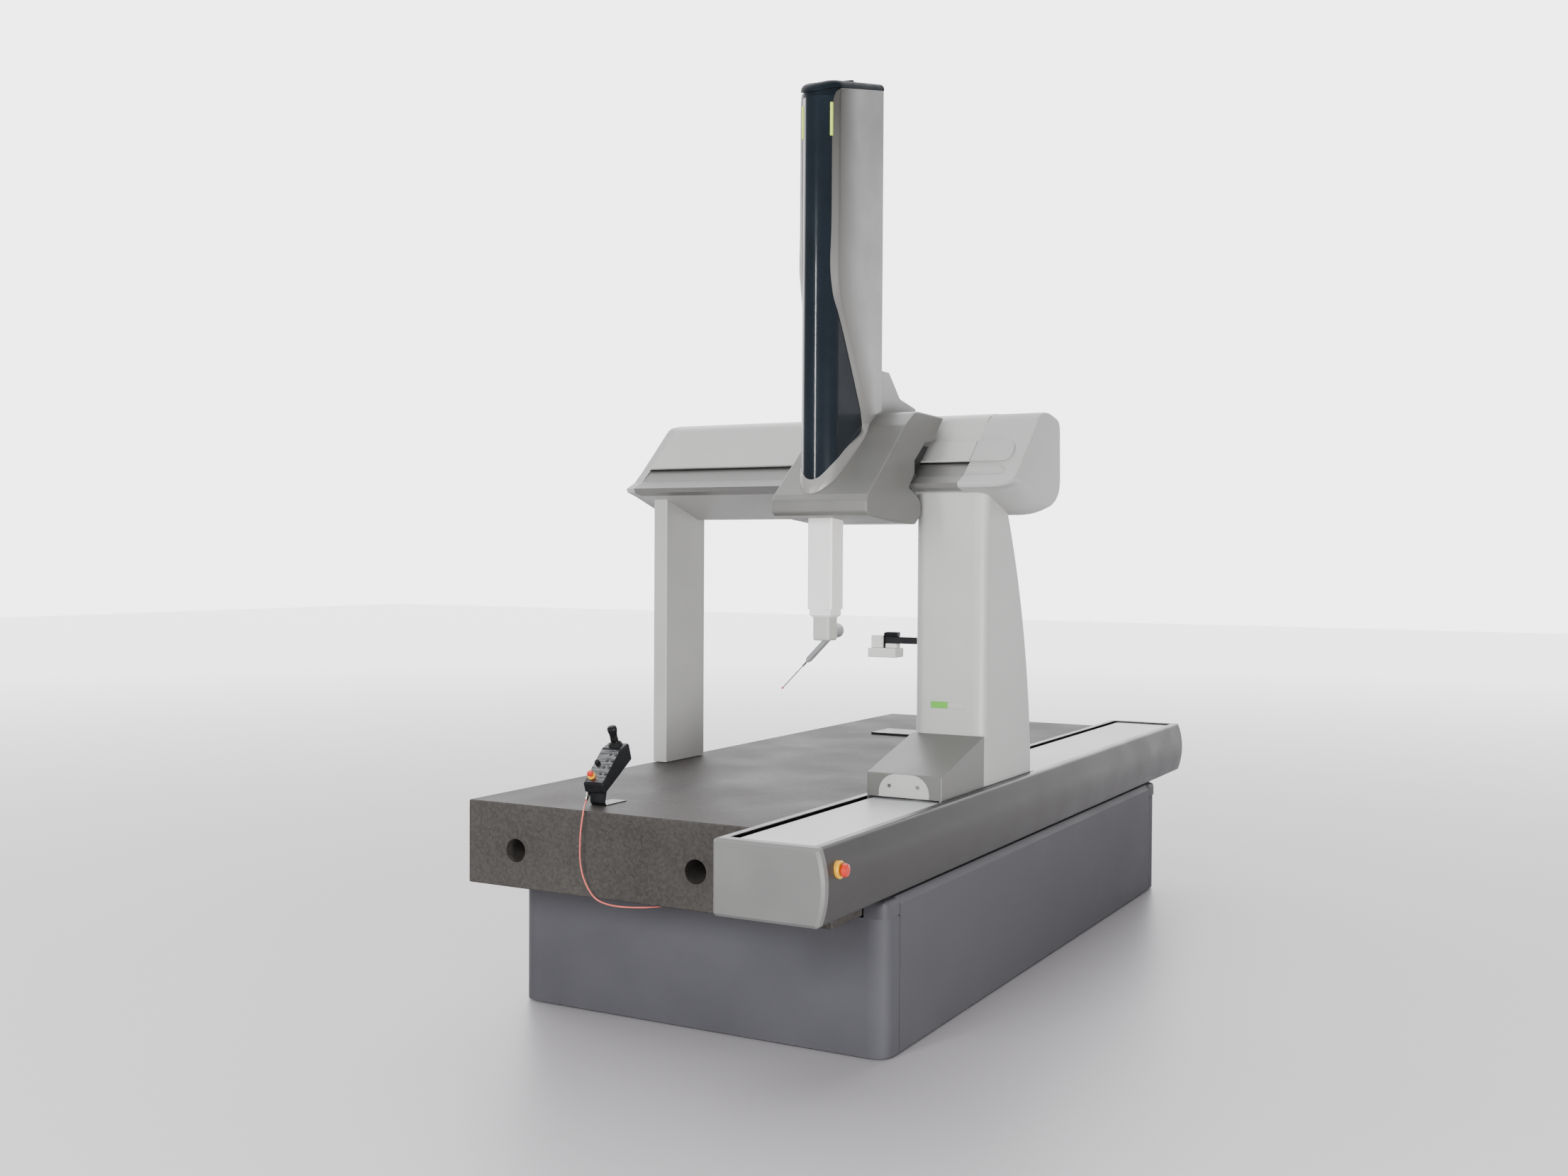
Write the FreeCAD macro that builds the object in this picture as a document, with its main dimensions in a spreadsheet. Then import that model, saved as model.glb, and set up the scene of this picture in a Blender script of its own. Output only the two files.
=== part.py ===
import FreeCAD, Part
import math
import os
import Sketcher

# Bridge coordinate measuring machine, in millimetres.
# X runs across the machine, Y from its front (minus) to its back (plus), Z is up.
# The origin is on the floor under the middle of the granite and of the beam.

# Driving dimensions. Names that end in _x, _y or _z are places: _x is counted from the granite's
# left face, _y from its front face and _z from the floor. All other names are plain sizes.
SIZES = {
    # granite table with a guide shoulder along its right side
    "granite_left": -713.5, "granite_length": 3300, "granite_right_x": 1340, "granite_bottom_z": 429,
    "granite_top_z": 701, "shoulder_x": 1083, "shoulder_z": 611, "granite_edge": 4,
    "lift_hole_r": 38, "lift_hole_depth": 320, "lift_left_x": 195, "lift_right_x": 877, "lift_hole_z": 550,
    # stand and its skirts
    "base_left_x": 67, "base_right_x": 1422, "base_inset": 194, "skirt_sheet": 3, "skirt_floor_gap": 7,
    "skirt_top_z": 426, "side_skirt_top_z": 478, "side_skirt_step_x": 1346, "skirt_corner": 60,
    "front_skirt_return": 96, "skirt_joint": 3, "side_skirt_bevel": 20,
    "frame_inset": 60, "frame_tube": 110, "frame_top_z": 369, "frame_foot_z": 46, "frame_rail_height": 120,
    "foot_r": 50, "foot_height": 22, "foot_stud_r": 12, "isolator_r": 50,
    # long cover of the right guide
    "cover_left_x": 1077, "cover_right_x": 1412, "cover_bottom_z": 486, "cover_top_z": 708,
    "cover_bulge_r": 302, "cover_wall": 3, "cover_corner": 12, "cover_overhang": 235, "cap_depth": 30,
    "cap_rim": 9, "slot_left_x": 1110, "slot_right_x": 1385, "inner_lip_depth": 10,
    "band_left_x": 1124, "band_right_x": 1370, "band_z": 699, "band_sheet": 1.5, "band_end_gap": 1,
    # emergency stop on the cover
    "stop_y": -144, "stop_z": 638, "stop_ring_r": 25.5, "stop_ring_depth": 9, "stop_ring_x": 1432.3,
    "stop_barrel_r": 14, "stop_head_r": 20, "stop_head_depth": 15, "stop_stem_r": 8, "stop_travel": 4,
    # belt drive of the Y axis
    "pulley_r": 30, "pulley_width": 24, "pulley_flange": 4, "flange_sheet": 2, "belt_sheet": 3, "belt_width": 18,
    "belt_gap": 0.3, "y_drive_x": 1393, "y_drive_z": 622, "y_drive_end": 70, "motor_r": 45, "motor_length": 130,
    "axle_r": 8, "bracket_plate": 10, "bracket_height": 90,
    # foot of the bridge on the guide
    "foot_front_y": 700, "foot_left_x": 1112, "foot_right_x": 1382, "foot_z": 710, "saddle_top_z": 690,
    "saddle_plate": 32, "saddle_inset": 30, "web": 8, "drop_plate": 14, "drop_x": 1364, "drop_z": 520,
    "pad_r": 36, "pad_height": 14, "air_gap": 0.3, "pad_stud_r": 10,
    "shroud_low": 77, "shroud_high": 174, "shroud_wall": 3, "shroud_edge": 5,
    "hatch_width": 180, "hatch_height": 76, "hatch_corner": 62, "hatch_sheet": 2,
    # column and leg
    "column_front_y": 1070, "column_seam_y": 1187, "column_rear_y": 1568, "column_top_rear_y": 1325,
    "column_curve_r": 2246, "column_wall": 8, "column_edge": 44, "rear_cover_edge": 30, "rear_cover_wall": 4,
    "leg_width": 60, "leg_front_y": 1094, "leg_rear_y": 1375, "leg_gap": 3, "leg_pocket": 32, "leg_wall": 6,
    "leg_pad_r": 22, "leg_pad_height": 12, "leg_pad_inset": 55,
    # section of the beam: nose, slope, crown, back and underside
    "beam_left_x": -69, "beam_right_x": 1496, "left_cap": 38, "right_cap": 194,
    "nose_y": 1001, "nose_z": 1760, "slope_foot_y": 1112, "slope_foot_z": 1832,
    "crown_front_y": 1306, "crown_front_z": 2012, "crown_y": 1385, "crown_z": 2028,
    "back_top_y": 1516, "back_top_z": 2004, "back_y": 1526, "back_low_z": 1745,
    "belly_rear_y": 1461, "belly_rear_z": 1686, "belly_y": 1325, "belly_z": 1646,
    "throat_y": 1056, "throat_z": 1733, "nose_under_y": 1010, "nose_under_z": 1744, "guide_y": 1058, "guide_z": 1786,
    "beam_cover_wall": 4, "beam_gap": 6, "ledge_rise": 74, "ledge_proud": 7, "ledge_wall": 4, "guide_gap": 6,
    "beam_wall": 14, "belt_recess": 34, "cap_wall": 5, "cap_edge": 22,
    # X drive behind the ledge
    "x_pulley_r": 11, "x_pulley_width": 14, "x_belt_sheet": 2, "x_drive_inset": 60,
    # carriage cover: rolled nose, slope, top and the lobe under the beam
    "carriage_left_x": 790, "carriage_right_x": 1148, "roll_y": 610, "roll_low_z": 1652, "roll_high_z": 1690,
    "brow_y": 627, "brow_z": 1711, "shoulder_y": 919, "shoulder_top_z": 1957, "carriage_top_y": 1010,
    "carriage_top_z": 2012, "carriage_rear_y": 1250, "carriage_rear_z": 2008, "notch_y": 1160, "notch_z": 1916,
    "notch_in_y": 1084, "notch_in_z": 1904, "throat_in_y": 996, "throat_high_z": 1838, "throat_low_z": 1794,
    "jaw_y": 950, "jaw_z": 1745, "lobe_top_y": 1030, "lobe_top_z": 1712, "lobe_y": 1050, "lobe_high_z": 1688,
    "lobe_low_z": 1650, "lobe_foot_y": 1006, "lobe_foot_z": 1617, "sole_y": 870, "sole_z": 1620,
    "sole_front_y": 628, "sole_front_z": 1640, "carriage_wall": 4, "roll_edge": 20, "carriage_edge": 7,
    # tower over the ram
    "tower_x": 926, "tower_half": 75, "tower_rear_y": 1038, "panel_half": 66, "panel_side_y": 709, "cover_wrap_y": 693, "wrap_tip_y": 673, "wrap_tip_half": 55,
    "wrap_low_z": 2300, "collar_tip_z": 1766, "sweep_bevel": 26, "sweep_foot_r": 150,
    "panel_nose_y": 645, "panel_wall": 4, "panel_top_z": 3040, "cover_front_y": 682,
    "cover_front_top_z": 3030, "swoop_top_z": 2470, "swoop_y": 693, "swoop_z": 2340, "sweep_y": 883,
    "sweep_z": 2014, "sweep_foot_y": 896, "sweep_foot_z": 1939, "side_top_front_z": 3067, "side_top_rear_z": 3140,
    "side_depth": 9, "side_bevel": 30, "swoop_r": 285, "collar_height": 40, "collar_proud": 5,
    "cap_front_z": 3080, "cap_curve_y": 690, "cap_curve_z": 3090, "cap_rear_z": 3178, "cap_rear_drop": 30,
    "hump_top_z": 2163, "hump_top_y": 1112, "hump_mid_y": 1207, "hump_mid_z": 2077, "hump_rear_y": 1347,
    "hump_rear_z": 2052, "hump_under_z": 2036, "hump_step_y": 1256, "hump_half": 66,
    # ram and probe head
    "ram_width": 92, "ram_front_y": 705, "ram_bottom_z": 1325, "ram_length": 1400, "ram_wall": 9, "ram_edge": 5,
    "collar_drop": 12, "collar_taper": 16, "head_width": 63, "head_depth": 70, "head_low_z": 1218,
    "head_seam": 0.3, "tilt_z": 1249, "tilt_r": 25, "tilt_drum": 58, "tilt_arm_half": 11, "probe_start": 68,
    "probe_r": 11, "probe_length": 88, "probe_taper": 8, "stylus_length": 143, "stylus_r": 2, "stylus_ball_r": 3.5,
    "stylus_holder": 26, "stylus_holder_r": 3.5, "probe_angle": 45,
    # ram housing and air pads of the carriage
    "housing_wall": 14.5, "housing_gap": 0.3, "housing_top_z": 2180, "saddle_gap": 26,
    # hand control on its bent stand
    "jog_left_x": 400, "jog_width": 80, "jog_lip_y": 80, "jog_lip_z": 774, "jog_heel_y": 93, "jog_heel_z": 740,
    "jog_back_y": 246, "jog_back_z": 838, "jog_crown_y": 228, "jog_crown_z": 893, "jog_brow_y": 184, "jog_brow_z": 877,
    "jog_edge": 7, "stand_sheet": 3, "stand_width": 56,
    "stand_foot_y": 229, "stand_foot_rise": 17,
    "stick_r": 9, "stick_length": 44, "stick_head_r": 12.5, "boot_r": 21, "boot_height": 16,
    "jog_stop_r": 11, "jog_stop_along": 22, "jog_knob_r": 9, "jog_knob_along": 74, "jog_key_r": 5,
    "cable_r": 2.5, "plug_relief": 22, "plug_collar": 20,
    # probe rack behind the column
    "rack_left_x": 316, "rack_width": 290, "rack_y": 2400, "rack_depth": 180, "rack_plate": 10,
    "rack_post_x": 560, "rack_post_r": 20, "rack_arm_z": 1140, "rack_arm": 30, "rack_port_x": 400,
    "sensor_width": 78, "sensor_depth": 104, "sensor_height": 54,
}


# Route of the hand control's cable, counted like the places above: across, back and up.
CABLE_ROUTE = [
    (431, 58, 724), (443, 31, 709), (476, -20, 704), (468, -23, 648), (464, -22, 594), (464, -21, 545),
    (474, -21, 500), (497, -21, 459), (524, -20, 431), (566, -19, 420), (612, -15, 417), (656, 10, 415),
    (690, 50, 412), (711, 100, 410), (720, 150, 409), (721, 199, 409),
]


class Size:
    """A length together with the expression that ties it to the sheet."""

    def __init__(self, number, text):
        self.number = number
        self.text = text

    def __add__(self, other):
        other = as_size(other)
        return Size(self.number + other.number, f"({self.text} + {other.text})")

    def __sub__(self, other):
        other = as_size(other)
        return Size(self.number - other.number, f"({self.text} - {other.text})")

    def __mul__(self, factor):
        factor = as_size(factor)
        return Size(self.number * factor.number, f"({self.text} * {factor.text})")

    def __truediv__(self, factor):
        factor = as_size(factor)
        return Size(self.number / factor.number, f"({self.text} / {factor.text})")

    def __neg__(self):
        return Size(-self.number, f"(0 - {self.text})")


def as_size(value):
    return value if isinstance(value, Size) else Size(float(value), repr(float(value)))


def cosine(angle):
    return Size(math.cos(math.radians(angle.number)), f"cos({angle.text})")


def sine(angle):
    return Size(math.sin(math.radians(angle.number)), f"sin({angle.text})")


class Places:
    """Every size of the sheet by name. Places are already moved to the machine's own frame."""


doc = FreeCAD.newDocument("MeasuringMachine")
sheet = doc.addObject("Spreadsheet::Sheet", "Sizes")
p = Places()
for row, (name, value) in enumerate(SIZES.items(), start=1):
    sheet.set(f"A{row}", name)
    sheet.set(f"B{row}", str(value))
    sheet.setAlias(f"B{row}", name)
doc.recompute()
for name, value in SIZES.items():
    plain = Size(float(value), f"Sizes.{name}")
    if name.endswith("_x"):
        plain = Size(SIZES["granite_left"], "Sizes.granite_left") + plain
    if name.endswith("_y"):
        plain = plain - Size(SIZES["granite_length"], "Sizes.granite_length") / 2
    setattr(p, name, plain)
granite_front = -p.granite_length / 2
granite_back = p.granite_length / 2

parts = {}


def bind(thing, prop, value):
    value = as_size(value)
    thing.setExpression(prop, value.text)


def place(thing, x, y, z, turn=None):
    """Puts a feature or body at a bound place, with an optional fixed turn."""
    if turn is not None:
        thing.Placement = FreeCAD.Placement(FreeCAD.Vector(), turn)
    for axis, value in zip("xyz", (x, y, z)):
        bind(thing, f"Placement.Base.{axis}", value)


def turn(axis, degrees):
    return FreeCAD.Rotation(FreeCAD.Vector(*axis), degrees)


ALONG_X = turn((0, 1, 0), 90)
ALONG_Y = turn((1, 0, 0), -90)
ALONG_Z = turn((0, 0, 1), 0)


def new_body(label):
    body = doc.addObject("PartDesign::Body", label)
    body.Label = label
    parts[label] = body
    return body


def helper_body(label):
    body = doc.addObject("PartDesign::Body", label)
    body.Label = label
    return body


def plane_of(body, role):
    return next(item for item in body.Origin.OriginFeatures if item.Role == role)


def arc_between(start, end, radius, side):
    """Arc from start to end; side 1 bulges to the right of the way from start to end, -1 to the left."""
    dx, dy = end[0] - start[0], end[1] - start[1]
    chord = math.hypot(dx, dy)
    rise = math.sqrt(max(radius * radius - chord * chord / 4, 0.0))
    nx, ny = -dy / chord, dx / chord
    cx = (start[0] + end[0]) / 2 + side * nx * rise
    cy = (start[1] + end[1]) / 2 + side * ny * rise
    first = math.atan2(start[1] - cy, start[0] - cx)
    last = math.atan2(end[1] - cy, end[0] - cx)
    centre = Part.Circle(FreeCAD.Vector(cx, cy, 0), FreeCAD.Vector(0, 0, 1), radius)
    if side > 0:
        return Part.ArcOfCircle(centre, first, last), False
    return Part.ArcOfCircle(centre, last, first), True


def draw(body, role, offset, points, arcs=None):
    """Closed outline on an origin plane, every corner bound to the sheet. arcs maps an edge to (radius, side)."""
    arcs = arcs or {}
    sketch = body.newObject("Sketcher::SketchObject", "Outline")
    sketch.AttachmentSupport = [(plane_of(body, role), "")]
    sketch.MapMode = "FlatFace"
    bind(sketch, "AttachmentOffset.Base.z", offset)
    corners = [(as_size(a), as_size(b)) for a, b in points]
    count = len(corners)
    flipped = {}
    for i in range(count):
        start = (corners[i][0].number, corners[i][1].number)
        end = (corners[(i + 1) % count][0].number, corners[(i + 1) % count][1].number)
        if i in arcs:
            radius, side = arcs[i]
            curve, flipped[i] = arc_between(start, end, as_size(radius).number, side)
            sketch.addGeometry(curve, False)
        else:
            line = Part.LineSegment(FreeCAD.Vector(*start, 0), FreeCAD.Vector(*end, 0))
            sketch.addGeometry(line, False)
            flipped[i] = False
    for i in range(count):
        after = (i + 1) % count
        end_of_edge = 1 if flipped[i] else 2
        start_of_next = 2 if flipped[after] else 1
        sketch.addConstraint(Sketcher.Constraint("Coincident", i, end_of_edge, after, start_of_next))
    for i, corner in enumerate(corners):
        start_point = 2 if flipped[i] else 1
        for kind, letter, value in (("DistanceX", "x", corner[0]), ("DistanceY", "y", corner[1])):
            number = sketch.addConstraint(Sketcher.Constraint(kind, -1, 1, i, start_point, value.number))
            sketch.renameConstraint(number, f"{letter}{i}")
            bind(sketch, f"Constraints.{letter}{i}", value)
    for i, (radius, side) in arcs.items():
        number = sketch.addConstraint(Sketcher.Constraint("Radius", i, as_size(radius).number))
        sketch.renameConstraint(number, f"r{i}")
        bind(sketch, f"Constraints.r{i}", radius)
    return sketch


def pad(body, role, start, stop, points, arcs=None):
    """Solid between two places along the plane's own axis."""
    offset = -as_size(stop) if role == "XZ_Plane" else as_size(start)
    feature = body.newObject("PartDesign::Pad", "Pad")
    feature.Profile = draw(body, role, offset, points, arcs)
    bind(feature, "Length", as_size(stop) - start)
    body.Tip = feature
    return feature


def pocket(body, role, start, stop, points, arcs=None):
    """Cut between two places along the plane's own axis."""
    offset = -as_size(start) if role == "XZ_Plane" else as_size(stop)
    feature = body.newObject("PartDesign::Pocket", "Pocket")
    feature.Profile = draw(body, role, offset, points, arcs)
    bind(feature, "Length", as_size(stop) - start)
    body.Tip = feature
    return feature


def rectangle(left, right, low, high):
    return [(left, low), (right, low), (right, high), (left, high)]


def box(body, kind, x0, x1, y0, y1, z0, z1):
    feature = body.newObject(f"PartDesign::{kind}Box", "Block")
    feature.MapMode = "Deactivated"
    for prop, low, high in (("Length", x0, x1), ("Width", y0, y1), ("Height", z0, z1)):
        bind(feature, prop, as_size(high) - low)
    place(feature, x0, y0, z0)
    body.Tip = feature
    return feature


def rod(body, kind, way, x, y, z, radius, length):
    """Round bar or bore that starts at x, y, z and runs along the given way."""
    feature = body.newObject(f"PartDesign::{kind}Cylinder", "Rod")
    feature.MapMode = "Deactivated"
    bind(feature, "Radius", radius)
    bind(feature, "Height", length)
    place(feature, x, y, z, way)
    body.Tip = feature
    return feature


def turned(body, points, arcs=None):
    """Solid of revolution about the body's own Z axis; points are radius and height."""
    feature = body.newObject("PartDesign::Revolution", "Turned")
    sketch = draw(body, "XZ_Plane", 0, points, arcs)
    feature.Profile = sketch
    feature.ReferenceAxis = (sketch, ["V_Axis"])
    feature.Angle = 360
    body.Tip = feature
    return feature


def edges_where(body, test):
    doc.recompute()
    names = []
    for number, edge in enumerate(body.Shape.Edges, start=1):
        start = edge.valueAt(edge.FirstParameter)
        end = edge.valueAt(edge.LastParameter)
        if test(start, end):
            names.append(f"Edge{number}")
    return names


def along(axis):
    """Test for straight edges that run along one axis."""
    def test(start, end):
        gap = end - start
        return gap.Length > 1e-6 and abs(abs(gap.normalize().dot(FreeCAD.Vector(*axis))) - 1) < 1e-6
    return test


def near(value, bound):
    return abs(value - as_size(bound).number) < 0.05


def dress(body, kind, prop, size, names):
    """Fillet or chamfer on the chosen edges of the body's last feature."""
    base = body.Tip
    feature = body.newObject(f"PartDesign::{kind}", kind)
    feature.Base = (base, names)
    bind(feature, prop, size)
    body.Tip = feature
    doc.recompute()
    return feature


def fillet(body, radius, test):
    return dress(body, "Fillet", "Radius", radius, edges_where(body, test))


def chamfer(body, size, test):
    return dress(body, "Chamfer", "Size", size, edges_where(body, test))


def hollow(body, wall, test):
    """Shells the body inwards and opens the faces that the test picks by centre and normal."""
    doc.recompute()
    open_faces = []
    for number, face in enumerate(body.Shape.Faces, start=1):
        u0, u1, v0, v1 = face.ParameterRange
        if test(face.CenterOfMass, face.normalAt((u0 + u1) / 2, (v0 + v1) / 2)):
            open_faces.append(f"Face{number}")
    base = body.Tip
    feature = body.newObject("PartDesign::Thickness", "Wall")
    feature.Base = (base, open_faces)
    feature.Reversed = True
    feature.Join = "Intersection"
    bind(feature, "Value", wall)
    body.Tip = feature
    doc.recompute()
    return feature


def group(label, pieces):
    """One node of several separate solids of the same kind."""
    compound = doc.addObject("Part::Compound", label)
    compound.Label = label
    compound.Links = pieces
    parts[label] = compound
    return compound


def ends_along(axis):
    return lambda centre, normal: abs(abs(normal.dot(FreeCAD.Vector(*axis))) - 1) < 1e-6


def between(start, end, share):
    """Point on the straight line from start to end at a share of its length."""
    return (start[0] + (end[0] - start[0]) * share, start[1] + (end[1] - start[1]) * share)


def root(value):
    return Size(math.sqrt(value.number), f"sqrt({value.text})")


def beside(start, end, share, distance):
    """Point at a share of the line from start to end, moved to the left of that way by a distance."""
    start = (as_size(start[0]), as_size(start[1]))
    end = (as_size(end[0]), as_size(end[1]))
    across = end[0] - start[0]
    upward = end[1] - start[1]
    length = root(across * across + upward * upward)
    distance = as_size(distance)
    on_line = between(start, end, share)
    return (on_line[0] - upward / length * distance, on_line[1] + across / length * distance)


# Stand: welded frame, feet, isolators and sheet skirts
def build_stand():
    left = p.base_left_x + p.skirt_sheet
    right = p.base_right_x - p.skirt_sheet
    front = granite_front + p.base_inset + p.skirt_sheet
    back = granite_back - p.base_inset - p.skirt_sheet
    rail_low = p.frame_top_z - p.frame_rail_height
    rail_lefts = (p.base_left_x + p.frame_inset, p.base_right_x - p.frame_inset - p.frame_tube)
    length = back - front
    stations = [front + length * share for share in (0.06, 0.5, 0.94)]
    frame = new_body("base_frame")
    for rail in rail_lefts:
        box(frame, "Additive", rail, rail + p.frame_tube, front, back, rail_low, p.frame_top_z)
        for station in stations:
            box(frame, "Additive", rail, rail + p.frame_tube, station - p.frame_tube / 2,
                station + p.frame_tube / 2, p.frame_foot_z, rail_low + 10)
    for station in stations:
        box(frame, "Additive", left, right, station - p.frame_tube / 2, station + p.frame_tube / 2,
            rail_low, p.frame_top_z - 1)
    feet = []
    pads = []
    for rail in rail_lefts:
        for station in stations:
            x = rail + p.frame_tube / 2
            foot = helper_body("foot")
            rod(foot, "Additive", ALONG_Z, x, station, 0, p.foot_r, p.foot_height)
            rod(foot, "Additive", ALONG_Z, x, station, 0, p.foot_stud_r, p.frame_foot_z)
            rod(foot, "Additive", ALONG_Z, x, station, p.frame_foot_z - 10, p.foot_stud_r * 1.8, 10)
            feet.append(foot)
            pad_disc = doc.addObject("Part::Cylinder", "isolator")
            bind(pad_disc, "Radius", p.isolator_r)
            bind(pad_disc, "Height", p.granite_bottom_z - p.frame_top_z)
            place(pad_disc, x, station, p.frame_top_z)
            pads.append(pad_disc)
    group("levelling_feet", feet)
    group("isolators", pads)
    for label, edge, way in (("front_skirt", granite_front, 1), ("rear_skirt", granite_back, -1)):
        end_skirt(label, edge, way)
    joint = p.front_skirt_return + p.skirt_joint
    run = (granite_front + p.base_inset + joint, granite_back - p.base_inset - joint)
    top = p.side_skirt_top_z
    sheet_gap = p.skirt_sheet * 0.42
    side = new_body("right_skirt")
    pad(side, "XZ_Plane", run[0], run[1], [
        (p.base_right_x, p.skirt_floor_gap), (p.base_right_x, top - p.side_skirt_bevel),
        (p.base_right_x - p.side_skirt_bevel, top), (p.side_skirt_step_x, top),
        (p.side_skirt_step_x, top - p.skirt_sheet), (p.base_right_x - p.side_skirt_bevel - sheet_gap, top - p.skirt_sheet),
        (right, top - p.side_skirt_bevel - sheet_gap), (right, p.skirt_floor_gap)])
    side = new_body("left_skirt")
    pad(side, "XZ_Plane", run[0], run[1], [
        (p.base_left_x, p.skirt_floor_gap), (left, p.skirt_floor_gap), (left, p.skirt_top_z - p.skirt_sheet),
        (left + p.frame_inset, p.skirt_top_z - p.skirt_sheet), (left + p.frame_inset, p.skirt_top_z),
        (p.base_left_x, p.skirt_top_z)])


def end_skirt(label, edge, way):
    """Sheet across one end of the stand, wrapped around both corners."""
    body = new_body(label)
    outer = edge + p.base_inset * way
    inner = outer + p.skirt_sheet * way
    curve = outer + p.skirt_corner * way
    tail = outer + p.front_skirt_return * way
    left, right, sheet_t, corner = p.base_left_x, p.base_right_x, p.skirt_sheet, p.skirt_corner
    points = [(left, tail), (left, curve), (left + corner, outer), (right - corner, outer), (right, curve),
              (right, tail), (right - sheet_t, tail), (right - sheet_t, curve), (right - corner, inner),
              (left + corner, inner), (left + sheet_t, curve), (left + sheet_t, tail)]
    turn_side = way
    arcs = {1: (corner, turn_side), 3: (corner, turn_side), 7: (corner - sheet_t, -turn_side),
            9: (corner - sheet_t, -turn_side)}
    pad(body, "XY_Plane", p.skirt_floor_gap, p.skirt_top_z, points, arcs)
    fillet(body, p.skirt_corner / 4, lambda a, b: along((1, 0, 0))(a, b) and near(a.y, tail) and near(a.z, p.skirt_top_z))


def build_granite():
    body = new_body("granite_table")
    left = p.granite_left
    pad(body, "XZ_Plane", granite_front, granite_back, [
        (left, p.granite_bottom_z), (p.granite_right_x, p.granite_bottom_z), (p.granite_right_x, p.shoulder_z),
        (p.shoulder_x, p.shoulder_z), (p.shoulder_x, p.granite_top_z), (left, p.granite_top_z)])

    def outer_edge(start, end):
        concave = near(start.x, p.shoulder_x) and near(end.x, p.shoulder_x)
        return not concave
    chamfer(body, p.granite_edge, outer_edge)
    for x in (p.lift_left_x, p.lift_right_x):
        for y in (granite_front, granite_back - p.lift_hole_depth):
            rod(body, "Subtractive", ALONG_Y, x, y, p.lift_hole_z, p.lift_hole_r, p.lift_hole_depth)


def cover_section(grow=0):
    """Outline of the guide cover across the machine, bulged on its right side."""
    grow = as_size(grow)
    left, right = p.cover_left_x - grow, p.cover_right_x + grow
    low, high = p.cover_bottom_z - grow, p.cover_top_z + grow
    return [(left, low), (right, low), (right, high), (left, high)], {1: (p.cover_bulge_r + grow, 1)}


def round_cover(body):
    fillet(body, p.cover_corner, along((0, 1, 0)))


def build_rail_cover():
    front = granite_front - p.cover_overhang
    back = granite_back + p.cover_overhang
    points, arcs = cover_section()
    body = new_body("rail_cover")
    seam_front, seam_back = front + p.cap_depth, back - p.cap_depth
    pad(body, "XZ_Plane", seam_front, seam_back, points, arcs)
    round_cover(body)
    hollow(body, p.cover_wall, ends_along((0, 1, 0)))
    gap = 3
    box(body, "Subtractive", p.cover_left_x - 1, p.granite_right_x + gap, granite_front - gap, granite_back + gap,
        p.cover_bottom_z - 1, p.granite_top_z + p.air_gap)
    box(body, "Subtractive", p.slot_left_x, p.slot_right_x, seam_front + p.inner_lip_depth,
        seam_back - p.inner_lip_depth, p.cover_top_z - p.cover_wall - 1, p.cover_top_z + 1)
    rod(body, "Subtractive", ALONG_X, p.cover_right_x, p.stop_y, p.stop_z, p.stop_barrel_r + p.air_gap, 40)
    for label, start, stop, rim in (("rail_front_cap", front, seam_front, front),
                                    ("rail_rear_cap", seam_back, back, back)):
        cap = new_body(label)
        pad(cap, "XZ_Plane", start, stop, points, arcs)
        round_cover(cap)
        chamfer(cap, p.cap_rim, lambda a, b: near(a.y, rim) and near(b.y, rim))
        hole, hole_arcs = cover_section(-p.cover_wall * 2)
        hole_start = start + p.cover_wall * 2 if label == "rail_front_cap" else start - 1
        hole_stop = stop + 1 if label == "rail_front_cap" else stop - p.cover_wall * 2
        pocket(cap, "XZ_Plane", hole_start, hole_stop, hole, hole_arcs)
        ledge_start = start + p.cover_wall if label == "rail_front_cap" else start
        ledge_stop = stop if label == "rail_front_cap" else stop - p.cover_wall
        box(cap, "Additive", p.band_left_x, p.band_right_x, ledge_start, ledge_stop, p.band_z - 14, p.band_z)
    band = new_body("rail_band")
    box(band, "Additive", p.band_left_x, p.band_right_x, front + p.cap_rim * 2, back - p.cap_rim * 2,
        p.band_z, p.band_z + p.band_sheet)
    stop = new_body("stop_base")
    rod(stop, "Additive", ALONG_X, p.cover_right_x, p.stop_y, p.stop_z, p.stop_ring_r,
        p.stop_ring_x + p.stop_ring_depth - p.cover_right_x)
    chamfer(stop, 2, lambda a, b: near(a.x, p.stop_ring_x + p.stop_ring_depth))
    grown, grown_arcs = cover_section(p.air_gap)
    pocket(stop, "XZ_Plane", p.stop_y - p.stop_ring_r * 2, p.stop_y + p.stop_ring_r * 2, grown, grown_arcs)
    rod(stop, "Additive", ALONG_X, p.cover_right_x - 30, p.stop_y, p.stop_z, p.stop_barrel_r,
        p.stop_ring_x - p.cover_right_x + 32)
    rod(stop, "Subtractive", ALONG_X, p.cover_right_x - 31, p.stop_y, p.stop_z, p.stop_stem_r + 0.05,
        p.stop_ring_depth + p.cover_overhang)
    mushroom("stop_button", ALONG_X, p.stop_ring_x + p.stop_ring_depth + p.stop_travel + 2, p.stop_y, p.stop_z,
             p.stop_head_r, p.stop_head_depth, p.stop_stem_r, (1, 0, 0))


def mushroom(label, way, x, y, z, head_r, head_depth, stem_r, axis):
    """Push button: domed head that starts at the given place, with its stem behind it."""
    body = new_body(label)
    depth = head_depth
    turned(body, [(0, -depth * 1.6), (stem_r, -depth * 1.6), (stem_r, 0), (head_r * 0.9, 0), (head_r, depth * 0.3),
                  (head_r * 0.86, depth * 0.85), (head_r * 0.5, depth), (0, depth)],
           {5: (head_r, 1)})
    place(body, x, y, z, way)


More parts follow.
